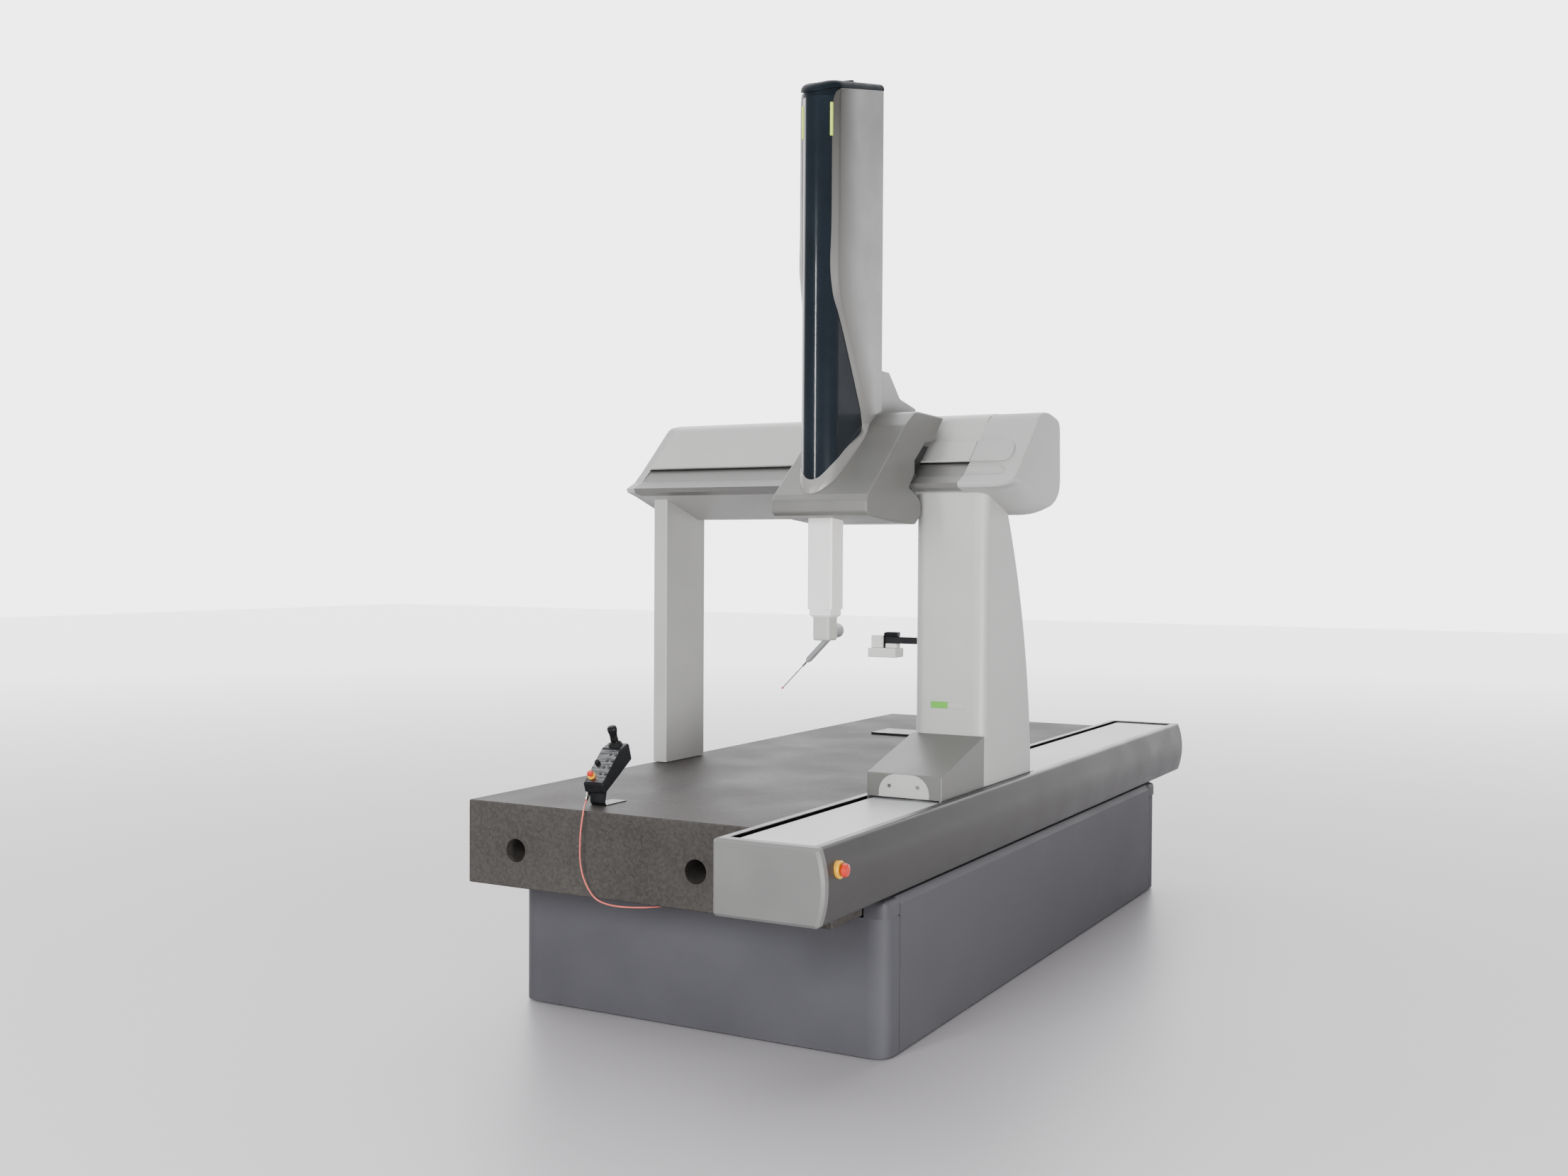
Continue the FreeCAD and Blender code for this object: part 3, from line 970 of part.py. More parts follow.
def build_ram():
    width = p.ram_width
    left, front = p.tower_x - width / 2, p.ram_front_y
    right, back = left + width, front + width
    wall = p.ram_wall
    ram = new_body("ram")
    box(ram, "Additive", left, right, front, back, p.ram_bottom_z, p.ram_bottom_z + p.ram_length)
    chamfer(ram, p.ram_edge, along((0, 0, 1)))
    box(ram, "Subtractive", left + wall, right - wall, front + wall, back - wall, p.ram_bottom_z - 1,
        p.ram_bottom_z + p.ram_length + 1)
    middle_y = front + width / 2
    half_plate = width / 2 - p.collar_drop / 2
    collar_low = p.ram_bottom_z - p.collar_drop - p.collar_taper
    plate = new_body("ram_end_plate")
    box(plate, "Additive", p.tower_x - half_plate, p.tower_x + half_plate, middle_y - half_plate, middle_y + half_plate,
        collar_low, p.ram_bottom_z)
    chamfer(plate, p.collar_taper / 2, lambda a, b: near(a.z, collar_low) and near(b.z, collar_low))
    head = new_body("head_body")
    box(head, "Additive", p.tower_x - p.head_width / 2, p.tower_x + p.head_width / 2, middle_y - p.head_depth / 2,
        middle_y + p.head_depth / 2, p.head_low_z, collar_low - p.head_seam)
    fillet(head, 10, along((0, 0, 1)))
    fillet(head, 8, lambda a, b: near(a.z, p.head_low_z) and near(b.z, p.head_low_z))
    drum_start = middle_y + p.head_depth / 2 + p.head_seam
    probe_y = drum_start + p.tilt_drum - p.tilt_arm_half - 2
    lean_x, lean_z = -sine(p.probe_angle), -cosine(p.probe_angle)

    def along_probe(distance):
        return p.tower_x + lean_x * distance, probe_y, p.tilt_z + lean_z * distance
    lean = turn((0, 1, 0), -180 + SIZES["probe_angle"])
    tilt = new_body("head_tilt")
    rod(tilt, "Additive", ALONG_Y, p.tower_x, drum_start, p.tilt_z, p.tilt_r, p.tilt_drum)
    rod(tilt, "Additive", lean, *along_probe(0), p.tilt_arm_half, p.probe_start)
    probe = new_body("probe_body")
    rod(probe, "Additive", lean, *along_probe(p.probe_start), p.probe_r, p.probe_length - p.probe_taper)
    rod(probe, "Additive", lean, *along_probe(p.probe_start), p.probe_r - 3, p.probe_length)
    tip = p.probe_start + p.probe_length
    stylus = new_body("stylus")
    rod(stylus, "Additive", lean, *along_probe(tip), p.stylus_holder_r, p.stylus_holder)
    rod(stylus, "Additive", lean, *along_probe(tip), p.stylus_r, p.stylus_length - p.stylus_ball_r * 1.6)
    ball = stylus.newObject("PartDesign::AdditiveSphere", "Ball")
    ball.MapMode = "Deactivated"
    bind(ball, "Radius", p.stylus_ball_r)
    place(ball, *along_probe(tip + p.stylus_length - p.stylus_ball_r))
    stylus.Tip = ball


def build_hand_control():
    left, right = p.jog_left_x, p.jog_left_x + p.jog_width
    middle = (left + right) / 2
    case = new_body("hand_case")
    lip, heel = (p.jog_lip_y, p.jog_lip_z), (p.jog_heel_y, p.jog_heel_z)
    back, crown, brow = (p.jog_back_y, p.jog_back_z), (p.jog_crown_y, p.jog_crown_z), (p.jog_brow_y, p.jog_brow_z)
    pad(case, "YZ_Plane", left, right, [heel, back, crown, brow, lip])
    fillet(case, p.jog_edge, lambda a, b: along((1, 0, 0))(a, b) or (near(a.x, left) and near(b.x, left)) or (
        near(a.x, right) and near(b.x, right)))
    stand = new_body("hand_stand")
    sheet_t = p.stand_sheet
    drop = p.air_gap
    foot_z = p.granite_top_z
    pad(stand, "YZ_Plane", middle - p.stand_width / 2, middle + p.stand_width / 2, [
        beside(heel, back, 0.06, -drop), beside(heel, back, 0.06, -drop - sheet_t), (p.jog_lip_y + 26, foot_z + 10),
        (p.jog_lip_y + 34, foot_z), (p.stand_foot_y, foot_z), (p.stand_foot_y, foot_z + sheet_t),
        (p.jog_lip_y + 36, foot_z + sheet_t), (p.jog_lip_y + 30, foot_z + 12),
        beside(heel, back, 0.16, -drop - sheet_t), beside(heel, back, 0.98, -drop - sheet_t),
        beside(heel, back, 0.98, -drop)])
    stick = new_body("stick")
    ball, shaft = p.stick_r * 0.6, p.stick_r * 0.4
    turned(stick, [(0, 0), (ball, ball), (shaft, ball * 1.8), (shaft, p.stick_length * 0.4),
                   (p.stick_head_r * 0.8, p.stick_length * 0.5), (p.stick_head_r, p.stick_length * 0.66),
                   (p.stick_head_r * 0.96, p.stick_length * 0.92), (p.stick_head_r * 0.7, p.stick_length),
                   (0, p.stick_length)], {0: (ball, 1)})
    seat_y, seat_z = beside(brow, crown, 0.5, p.air_gap)
    place(stick, middle, seat_y, seat_z, turn((1, 0, 0), 20))
    return middle, (lip, brow)


def on_face(face, share, height):
    """Place on the sloping front of the hand control, raised by a height."""
    return beside(face[0], face[1], share, height)


def build_keys(middle, face):
    angle = math.degrees(math.atan2((face[1][1] - face[0][1]).number, (face[1][0] - face[0][0]).number))
    way = turn((1, 0, 0), angle)
    quarter = p.jog_width / 4
    y, z = on_face(face, 0.2, 12.3)
    mushroom("hand_stop_button", way, middle - quarter * 0.9, y, z, p.jog_stop_r, p.jog_stop_r * 0.8,
             p.jog_stop_r * 0.4 - 0.05, None)
    y, z = on_face(face, 0.2, -p.jog_stop_r)
    rod(parts["hand_case"], "Subtractive", way, middle - quarter * 0.9, y, z, p.jog_stop_r * 0.4, p.jog_stop_r * 2)
    y, z = on_face(face, 0.55, 0.3)
    knob = new_body("hand_knob")
    turned(knob, [(0, 0), (p.jog_knob_r, 0), (p.jog_knob_r * 0.85, 12), (p.jog_knob_r * 0.7, 14), (0, 14)])
    place(knob, middle - quarter, y, z, way)
    keys = []
    for column in range(2):
        for row in range(4):
            y, z = on_face(face, 0.3 + row * 0.18, 0.3)
            key = doc.addObject("Part::Cylinder", "key")
            bind(key, "Radius", p.jog_key_r)
            key.Height = 4
            place(key, middle + quarter * 0.35 + quarter * column, y, z, way)
            keys.append(key)
    group("hand_keys", keys)


def build_rack():
    left, low = p.rack_left_x, p.granite_top_z
    foot = new_body("rack_stand")
    box(foot, "Additive", left, left + p.rack_width, p.rack_y, p.rack_y + p.rack_depth, low, low + p.rack_plate)
    post_y = p.rack_y + p.rack_depth / 2
    rod(foot, "Additive", ALONG_Z, p.rack_post_x, post_y, low, p.rack_post_r, p.rack_arm_z - low)
    arm = p.rack_arm
    box(foot, "Additive", p.rack_port_x - 50, p.rack_post_x + p.rack_post_r, post_y - arm / 2, post_y + arm / 2,
        p.rack_arm_z - arm, p.rack_arm_z)
    sensor = new_body("stored_sensor")
    top = p.rack_arm_z - arm
    box(sensor, "Additive", p.rack_port_x - p.sensor_width, p.rack_port_x, post_y - p.sensor_depth / 2,
        post_y + p.sensor_depth / 2, top - p.sensor_height, top)
    fillet(sensor, 6, along((0, 0, 1)))
    box(sensor, "Additive", p.rack_port_x - p.sensor_width, p.rack_port_x - 51, post_y - 14, post_y + 14, top - 1, top + 44)


def build_cable():
    """Cable of the hand control: over the table's edge, down its front and in under the granite."""
    radius = SIZES["cable_r"]
    corners = [FreeCAD.Vector(SIZES["granite_left"] + x, y - SIZES["granite_length"] / 2, z) for x, y, z in CABLE_ROUTE]
    pieces = []
    radii = []
    start = corners[0]
    for before, corner, after in zip(corners, corners[1:], corners[2:]):
        arriving = (corner - before).normalize()
        leaving = (after - corner).normalize()
        half_turn = arriving.getAngle(leaving) / 2
        reach = 0.45 * min((corner - before).Length, (after - corner).Length)
        radii.append(reach / math.tan(half_turn))
        first = corner - arriving * reach
        last = corner + leaving * reach
        inward = (leaving - arriving).normalize()
        centre = corner + inward * (radii[-1] / math.cos(half_turn))
        middle = centre - inward * radii[-1]
        pieces.append(Part.makeLine(start, first))
        pieces.append(Part.Arc(first, middle, last).toShape())
        start = last
    pieces.append(Part.makeLine(start, corners[-1]))
    path = Part.Wire(pieces)
    ring = Part.Wire(Part.makeCircle(radius, corners[0], corners[1] - corners[0]))
    cable = doc.addObject("Part::Feature", "hand_cable")
    cable.Label = "hand_cable"
    cable.Shape = path.makePipeShell([ring], True, False)
    parts["hand_cable"] = cable
    expected = math.pi * radius ** 2 * path.Length
    print("cable radii", [round(value, 1) for value in radii], "least allowed", radius * 10)
    print("cable length", round(path.Length, 1), "volume share", round(cable.Shape.Volume / expected, 4))
    plug = new_body("hand_plug")
    way = FreeCAD.Rotation(FreeCAD.Vector(0, 0, 1), corners[1] - corners[0])
    back = (corners[0] - corners[1]).normalize()
    relief, collar = SIZES["plug_relief"], SIZES["plug_collar"]
    for length, thick in ((relief, 1.7), (relief + collar, 1.0)):
        base = corners[0] + back * (relief + collar if thick == 1.0 else relief)
        rod(plug, "Additive", way, base.x, base.y, base.z, p.cable_r * (1.9 if thick == 1.7 else 2.6),
            relief if thick == 1.7 else collar)
    hole = corners[0] + back * (relief + collar)
    rod(parts["hand_case"], "Subtractive", way, hole.x, hole.y, hole.z, p.cable_r * 2.6 + p.air_gap, collar)
    gland = new_body("cable_gland")
    end = corners[-1]
    wall_y = granite_front + p.base_inset
    rod(gland, "Additive", ALONG_Y, end.x, wall_y - 7, end.z, p.cable_r * 4, 7)
    rod(gland, "Additive", ALONG_Y, end.x, wall_y - 7, end.z, p.cable_r * 3, 20)
    rod(gland, "Subtractive", ALONG_Y, end.x, wall_y - 8, end.z, p.cable_r + p.air_gap, 30)
    rod(parts["front_skirt"], "Subtractive", ALONG_Y, end.x, wall_y - 5, end.z, p.cable_r * 3 + p.air_gap, 15)


build_stand()
build_granite()
build_rail_cover()
build_y_drive()
build_y_saddle()
build_column()
build_beam()
build_carriage()
build_tower()
build_ram()
middle_x, key_face = build_hand_control()
build_keys(middle_x, key_face)
build_rack()
build_cable()
doc.recompute()

os.makedirs("parts", exist_ok=True)
faults = []
whole = FreeCAD.BoundBox()
for label, thing in parts.items():
    shape = thing.Shape
    if "Invalid" in thing.State or "Error" in thing.State or shape.isNull() or not shape.isValid():
        faults.append(label)
        continue
    whole.add(shape.BoundBox)
    shape.exportStep(f"parts/{label}.step")
for thing in doc.Objects:
    if "Invalid" in thing.State or "Error" in thing.State:
        faults.append(f"{thing.Label} in {[parent.Label for parent in thing.InList]}")
print("nodes", len(parts), "faults", faults)
print("box", [round(v, 1) for v in (whole.XMin, whole.XMax, whole.YMin, whole.YMax, whole.ZMin, whole.ZMax)])
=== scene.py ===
# %% [markdown]
# A bridge measuring machine, dressed for a photograph.
# The solids of the machine come from its CAD model and stay exactly where that model puts them. This
# lesson gives each of them its real finish, adds the small trim that a modeller makes faster than a
# draughtsman, and sets up a plain studio with the camera at the photograph's angle.
# The frame has its origin on the floor under the machine: X across it, Y from the operator's end to the
# far end, Z up, all in metres.

import math

import bmesh
import bpy
from mathutils import Matrix, Vector


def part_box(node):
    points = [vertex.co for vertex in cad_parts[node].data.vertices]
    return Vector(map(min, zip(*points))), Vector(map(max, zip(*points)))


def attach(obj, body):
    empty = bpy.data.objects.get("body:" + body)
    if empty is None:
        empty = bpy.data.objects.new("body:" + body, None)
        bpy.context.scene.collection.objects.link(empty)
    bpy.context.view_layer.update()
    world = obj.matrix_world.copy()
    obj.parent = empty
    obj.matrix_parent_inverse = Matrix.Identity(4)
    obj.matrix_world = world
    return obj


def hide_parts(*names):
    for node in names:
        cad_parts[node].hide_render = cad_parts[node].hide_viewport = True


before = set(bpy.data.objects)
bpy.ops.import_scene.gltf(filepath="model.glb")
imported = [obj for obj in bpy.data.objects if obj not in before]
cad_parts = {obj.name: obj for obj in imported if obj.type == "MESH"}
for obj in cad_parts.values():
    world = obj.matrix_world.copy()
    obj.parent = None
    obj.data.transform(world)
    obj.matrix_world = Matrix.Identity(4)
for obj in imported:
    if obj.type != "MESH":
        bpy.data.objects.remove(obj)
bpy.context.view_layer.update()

# %% [markdown]
# Colours are easiest to pick as the hex values of a picture, which are stored for a screen. Blender's
# shaders work with linear light, so one function turns the first into the second.

# %% Colour
def linear(hex_colour):
    """A hex colour of a screen as linear light with full alpha."""
    channels = [int(hex_colour[i:i + 2], 16) / 255 for i in (1, 3, 5)]
    light = [c / 12.92 if c <= 0.04045 else ((c + 0.055) / 1.055) ** 2.4 for c in channels]
    return (*light, 1.0)


MM = 0.001
print("mid grey is", [round(c, 3) for c in linear("#808080")])

# %% [markdown]
# Every material is a small tree of nodes. A single helper adds a node, sets its values and wires its
# inputs, so that each finish below reads as a list of what the real surface is made of.

# %% Nodes
def add_node(material, kind, settings=None, links=None, stops=()):
    """Adds one node, sets its sockets or properties by name, its colour stops and its links."""
    node = material.node_tree.nodes.new(kind)
    for name, value in (settings or {}).items():
        if name in node.inputs:
            node.inputs[name].default_value = value
        else:
            setattr(node, name, value)
    for name, source in (links or {}).items():
        material.node_tree.links.new(source, node.inputs[name])
    for k, (position, colour) in enumerate(stops):
        node.color_ramp.elements[k].position = position
        node.color_ramp.elements[k].color = linear(colour)
    return node


def start_material(name, settings):
    """A material with one Principled surface, ready for its pattern."""
    material = bpy.data.materials.new(name)
    material.use_nodes = True
    material.node_tree.nodes.clear()
    surface = add_node(material, "ShaderNodeBsdfPrincipled", settings)
    add_node(material, "ShaderNodeOutputMaterial", links={"Surface": surface.outputs["BSDF"]})
    place = add_node(material, "ShaderNodeTexCoord").outputs["Object"]
    return material, surface, place


def shade_between(material, surface, place, dark, light, size_mm):
    """Lets the colour wander between two close shades, in patches of a real size."""
    cloud = add_node(material, "ShaderNodeTexNoise", {"Scale": 1 / (size_mm * MM), "Detail": 3.0},
                     {"Vector": place})
    ramp = add_node(material, "ShaderNodeValToRGB", links={"Fac": cloud.outputs["Fac"]},
                    stops=[(0.3, dark), (0.7, light)])
    material.node_tree.links.new(ramp.outputs["Color"], surface.inputs["Base Color"])
    return cloud


def grain(material, surface, place, size_mm, height_mm):
    """Fine relief of a moulded, cast or sprayed surface."""
    noise = add_node(material, "ShaderNodeTexNoise", {"Scale": 1 / (size_mm * MM), "Detail": 2.0},
                     {"Vector": place})
    bump = add_node(material, "ShaderNodeBump", {"Strength": 1.0, "Distance": height_mm * MM},
                    {"Height": noise.outputs["Fac"]})
    material.node_tree.links.new(bump.outputs["Normal"], surface.inputs["Normal"])


def rough_between(material, surface, cloud, low, high):
    """Spreads the roughness with the same patches that move the colour."""
    spread = add_node(material, "ShaderNodeMapRange",
                      {"From Min": 0.3, "From Max": 0.7, "To Min": low, "To Max": high},
                      {"Value": cloud.outputs["Fac"]})
    material.node_tree.links.new(spread.outputs["Result"], surface.inputs["Roughness"])


print("helpers ready")

# %% [markdown]
# Most covers are sheet and moulded shells under a satin polyurethane enamel. Sprayed enamel has a faint
# orange peel, a few millimetres across, and its sheen varies a little where dust was wiped off. The
# shroud at the column's foot, the guide beam and the tower's rear have the same enamel a tone darker,
# as painted shade. The carriage and the long guide cover have a silver lacquer instead: the same enamel
# with metal flakes. End caps and the carriage's hump are moulded polyurethane, a little rougher.

# %% Enamel and lacquer
def satin_enamel(name, dark, light):
    material, surface, place = start_material(name, {"IOR": 1.5})
    cloud = shade_between(material, surface, place, dark, light, 260)
    rough_between(material, surface, cloud, 0.36, 0.46)
    grain(material, surface, place, 3.0, 0.02)
    return material


LACQUER_COAT = {"IOR": 1.5, "Specular IOR Level": 0.3, "Metallic": 0.2}
FLAKE_PATCH = 180


def lacquer(name, dark, light):
    material, surface, place = start_material(name, LACQUER_COAT)
    cloud = shade_between(material, surface, place, dark, light, FLAKE_PATCH)
    rough_between(material, surface, cloud, 0.34, 0.42)
    grain(material, surface, place, 2.0, 0.02)
    return material


def moulded_grey(name, dark, light):
    material, surface, place = start_material(name, {"IOR": 1.5})
    cloud = shade_between(material, surface, place, dark, light, 200)
    rough_between(material, surface, cloud, 0.42, 0.52)
    grain(material, surface, place, 1.5, 0.03)
    return material


ENAMEL = satin_enamel("satin polyurethane enamel", "#a3a3a0", "#aaaaa7")
# painted shade: the same satin enamel a tone darker, for parts that sit in shade
ENAMEL_IN_PAINTED_SHADE = satin_enamel("satin enamel with painted shade", "#5e5e5b", "#656562")
WHITE = satin_enamel("white satin enamel", "#dcdad7", "#e2e0dd")
GREY = moulded_grey("moulded polyurethane, light grey", "#9c9c9a", "#a4a4a2")
RAIL_GREY = moulded_grey("moulded polyurethane, middle grey", "#636361", "#6a6a68")
SILVER = lacquer("silver lacquer", "#666663", "#6d6d6a")
DARK_SILVER = lacquer("dark silver lacquer", "#393837", "#3f3e3d")
print("made", ENAMEL.name, "and", SILVER.name)

# %% [markdown]
# The tower's covers have the same lacquer, in a warmer silver. A tall face over a bright floor is lit
# from below and darkens upward, more than a few soft lights can show, so painted shade darkens the
# lacquer's colour with height, over the metre between the covers' foot and their top.

# %% Tower lacquer with painted shade
COVER_FOOT_Z, COVER_TOP_Z = 1.95, 3.0


def lacquer_with_painted_shade(name, foot_shade, top_shade):
    material, surface, place = start_material(name, LACQUER_COAT)
    parts = add_node(material, "ShaderNodeSeparateXYZ", links={"Vector": place})
    climb = add_node(material, "ShaderNodeMapRange", {"From Min": COVER_FOOT_Z, "From Max": COVER_TOP_Z},
                     {"Value": parts.outputs["Z"]})
    # painted shade: the ramp darkens the colour from the covers' foot to their top
    painted_shade_ramp = add_node(material, "ShaderNodeValToRGB", links={"Fac": climb.outputs["Result"]},
                      stops=[(0.0, foot_shade), (1.0, top_shade)])
    material.node_tree.links.new(painted_shade_ramp.outputs["Color"], surface.inputs["Base Color"])
    cloud = add_node(material, "ShaderNodeTexNoise", {"Scale": 1 / (FLAKE_PATCH * MM), "Detail": 3.0},
                     {"Vector": place})
    rough_between(material, surface, cloud, 0.34, 0.42)
    grain(material, surface, place, 2.0, 0.02)
    return material


# painted shade: the warm silver darkens toward the tower's top
TOWER = lacquer_with_painted_shade("lacquer in warm silver, with painted shade", "#868582", "#464542")
print("made", TOWER.name)

# %% [markdown]
# The tower's curved front is a vacuum-formed sheet of acrylic over ABS, deep blue-grey and polished, so
# it shows the lights as one long vertical streak. A clear coat over a smooth base gives that streak.

# %% Gloss panel
def gloss_acrylic(name, dark, light):
    material, surface, place = start_material(name, {"IOR": 1.49, "Specular IOR Level": 0.35,
                                                     "Coat Weight": 0.4, "Coat Roughness": 0.04})
    cloud = shade_between(material, surface, place, dark, light, 150)
    rough_between(material, surface, cloud, 0.16, 0.2)
    return material


PANEL = gloss_acrylic("gloss acrylic, blue-grey", "#0f161c", "#131b22")
print("made", PANEL.name)

# %% [markdown]
# The table is diabase, a black granite, lapped flat. Its crystals are 1 to 3 mm across: dark pyroxene,
# grey feldspar and a few brighter specks. Crystals that small vanish at this distance, so they are
# drawn about four times coarser. Lapping leaves a matt face that still mirrors a low light softly.

# %% Granite
CRYSTAL, CLOUD = 8, 320


def lapped_granite(name):
    material, surface, place = start_material(name, {"IOR": 1.55, "Specular IOR Level": 0.08})
    crystals = add_node(material, "ShaderNodeTexVoronoi", {"Scale": 1 / (CRYSTAL * MM)}, {"Vector": place})
    clouds = add_node(material, "ShaderNodeTexNoise", {"Scale": 1 / (CLOUD * MM), "Detail": 6.0},
                      {"Vector": place})
    crystal_ramp = add_node(material, "ShaderNodeValToRGB", links={"Fac": crystals.outputs["Color"]},
                            stops=[(0.0, "#32302f"), (1.0, "#524f4c")])
    cloud_ramp = add_node(material, "ShaderNodeValToRGB", links={"Fac": clouds.outputs["Fac"]},
                          stops=[(0.35, "#393735"), (0.7, "#4a4743")])
    mixed = add_node(material, "ShaderNodeMix", {"data_type": "RGBA"})
    mixed.inputs[0].default_value = 0.45
    material.node_tree.links.new(cloud_ramp.outputs["Color"], mixed.inputs[6])
    material.node_tree.links.new(crystal_ramp.outputs["Color"], mixed.inputs[7])
    material.node_tree.links.new(mixed.outputs[2], surface.inputs["Base Color"])
    rough_between(material, surface, clouds, 0.5, 0.64)
    grain(material, surface, place, 4.0, 0.02)
    return material


GRANITE = lapped_granite("lapped diabase granite")
print("made", GRANITE.name)

# %% [markdown]
# The skirts are folded steel sheet with a powder coat, a little rougher than enamel. The welded frame
# behind them has a coat of the same kind. The band that closes the guide is thin steel with a pale coat.

# %% Powder coats and band
def powder_coat(name, dark, light, low, high):
    material, surface, place = start_material(name, {"IOR": 1.5, "Specular IOR Level": 0.25})
    cloud = shade_between(material, surface, place, dark, light, 300)
    rough_between(material, surface, cloud, low, high)
    grain(material, surface, place, 1.2, 0.04)
    return material


SKIRT = powder_coat("powder coat, middle grey", "#48484c", "#4e4e52", 0.5, 0.6)
FRAME = powder_coat("powder coat, dark grey", "#565b5f", "#5e6367", 0.5, 0.6)
BAND = powder_coat("pale coat on steel band", "#c6c7c8", "#cecfd0", 0.4, 0.5)
print("made", SKIRT.name, FRAME.name, BAND.name)

# %% [markdown]
# Bare metals: the air pads, brackets and pulleys are milled aluminium with a clear anodised skin, and
# other parts are anodised black or grey. The stylus, the levelling feet and the screws are ground steel,
# the hand control's plug is nickel plated and its face is brushed steel. Milling leaves fine lines, so
# the patches of shade and roughness are stretched along one way by scaling the coordinates unevenly.

# %% Metals
def milled_metal(name, dark, light, low, high, metallic=1.0):
    material, surface, place = start_material(name, {"Metallic": metallic})
    stretch = add_node(material, "ShaderNodeMapping", {"Scale": (1.0, 14.0, 1.0)}, {"Vector": place})
    cloud = shade_between(material, surface, stretch.outputs["Vector"], dark, light, 40)
    rough_between(material, surface, cloud, low, high)
    return material


ALUMINIUM = milled_metal("clear anodised aluminium", "#a9adb0", "#b9bcbe", 0.32, 0.42)
BLACK_METAL = milled_metal("black anodised aluminium", "#1b1c1e", "#262729", 0.35, 0.5, 0.4)
STEEL = milled_metal("ground steel", "#9b9ea0", "#adb0b2", 0.22, 0.3)
NICKEL = milled_metal("nickel plated brass", "#b3b2ad", "#c3c2bd", 0.18, 0.26)
PROBE = milled_metal("grey anodised aluminium", "#9a9c9d", "#a6a8a9", 0.35, 0.45, 0.6)
FACE_STEEL = milled_metal("brushed steel face", "#313335", "#a2a4a5", 0.25, 0.35)
print("made", ALUMINIUM.name, "and five other metals")

# %% [markdown]
# Rubber, moulded ABS, acrylic, the ruby ball and the cable's polyurethane jacket are all dielectrics.
# They differ in colour and in how rough their surface is, so one function makes them.

# %% Plastics and rubber
def moulded(name, dark, light, low, high, coat=0.0, shine=0.5):
    material, surface, place = start_material(name, {"IOR": 1.5, "Coat Weight": coat,
                                                     "Specular IOR Level": shine})
    cloud = shade_between(material, surface, place, dark, light, 25)
    rough_between(material, surface, cloud, low, high)
    grain(material, surface, place, 0.8, 0.02)
    return material


RUBBER = moulded("black rubber", "#121212", "#1a1a1a", 0.6, 0.75, shine=0.2)
BLACK_ABS = moulded("black ABS", "#0c0c0d", "#141416", 0.35, 0.5, shine=0.25)
CASE_ABS = moulded("charcoal ABS", "#101113", "#17181b", 0.4, 0.5, shine=0.25)
CROWN_ABS = moulded("dark blue-grey ABS", "#0e1419", "#131a20", 0.5, 0.6, shine=0.12)
KEY_ABS = moulded("dark grey ABS", "#3c3f41", "#484b4d", 0.4, 0.5)
RED_ABS = moulded("red ABS", "#b9200f", "#c62a16", 0.25, 0.35, coat=0.3)
YELLOW_ABS = moulded("yellow ABS", "#dd9d0e", "#e6aa1b", 0.3, 0.4, coat=0.2)
JACKET = moulded("coral polyurethane jacket", "#c85f52", "#d46c60", 0.35, 0.45)
RUBY = moulded("synthetic ruby", "#8f0d18", "#a3121f", 0.08, 0.12)
DIFFUSER = moulded("frosted lime acrylic", "#b4cf4a", "#c2da5c", 0.35, 0.45)
print("made ten dielectrics")

# %% [markdown]
# Each CAD solid gets the finish of the real piece. The table of nodes below is the whole paint plan.

# %% Paint plan
PAINT = {
    ENAMEL: ["right_column", "column_rear_cover", "hatch_plate", "left_leg", "beam_cover",
             "beam_ledge", "head_body"],
    ENAMEL_IN_PAINTED_SHADE: ["column_shroud", "beam", "tower_rear_cover"],
    SILVER: ["carriage_cover"],
    DARK_SILVER: ["rail_cover"],
    TOWER: ["tower_left_cover", "tower_right_cover", "tower_collar"],
    WHITE: ["ram", "ram_end_plate"],
    GREY: ["beam_left_cap", "beam_right_cap", "carriage_hump", "stored_sensor"],
    RAIL_GREY: ["rail_front_cap", "rail_rear_cap"],
    PANEL: ["tower_front_panel", "tower_top_cap"],
    GRANITE: ["granite_table"],
    SKIRT: ["front_skirt", "rear_skirt", "right_skirt", "left_skirt"],
    FRAME: ["base_frame"],
    BAND: ["rail_band"],
    ALUMINIUM: ["y_drive_pulley", "y_idler_pulley", "y_idler_mount", "y_saddle", "y_air_pads",
                "leg_air_pads", "x_air_pads", "ram_housing"],
    BLACK_METAL: ["y_motor", "x_saddle", "hand_stand", "rack_stand"],
    STEEL: ["levelling_feet", "stylus"],
    PROBE: ["head_tilt", "probe_body"],
    RUBBER: ["isolators", "y_belt"],
    RED_ABS: ["stop_button", "hand_stop_button"],
    YELLOW_ABS: ["stop_base"],
    BLACK_ABS: ["stick", "hand_knob", "cable_gland"],
    CASE_ABS: ["hand_case"],
    KEY_ABS: ["hand_keys"],
    NICKEL: ["hand_plug"],
    JACKET: ["hand_cable"],
}
for material, nodes in PAINT.items():
    for name in nodes:
        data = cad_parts[name].data
        data.materials.clear()
        data.materials.append(material)
painted = sum(len(nodes) for nodes in PAINT.values())
print("painted", painted, "of", len(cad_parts), "solids")

# %% [markdown]
# The trim that follows is small: strips, plates and screw heads. A helper makes a box with softened
# edges from its two corners, and another a disc, and both hand the piece to the body it rides on.

# %% Trim helpers
def finish_piece(piece, material, body):
    """Names the finish and the carrier of a piece of trim."""
    piece.data.materials.append(material)
    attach(piece, body)
    return piece


def soft_box(name, low, high, material, body, edge_mm=1.0):
    """Box between two corners, in metres, with a small bevel on every edge."""
    low, high = Vector(low), Vector(high)
    bpy.ops.mesh.primitive_cube_add(size=1, location=(low + high) / 2)
    piece = bpy.context.object
    piece.name = name
    piece.scale = high - low
    bpy.ops.object.transform_apply(location=False, rotation=False, scale=True)
    bevel = piece.modifiers.new("soft edges", "BEVEL")
    bevel.width = edge_mm * MM
    bevel.segments = 2
    return finish_piece(piece, material, body)


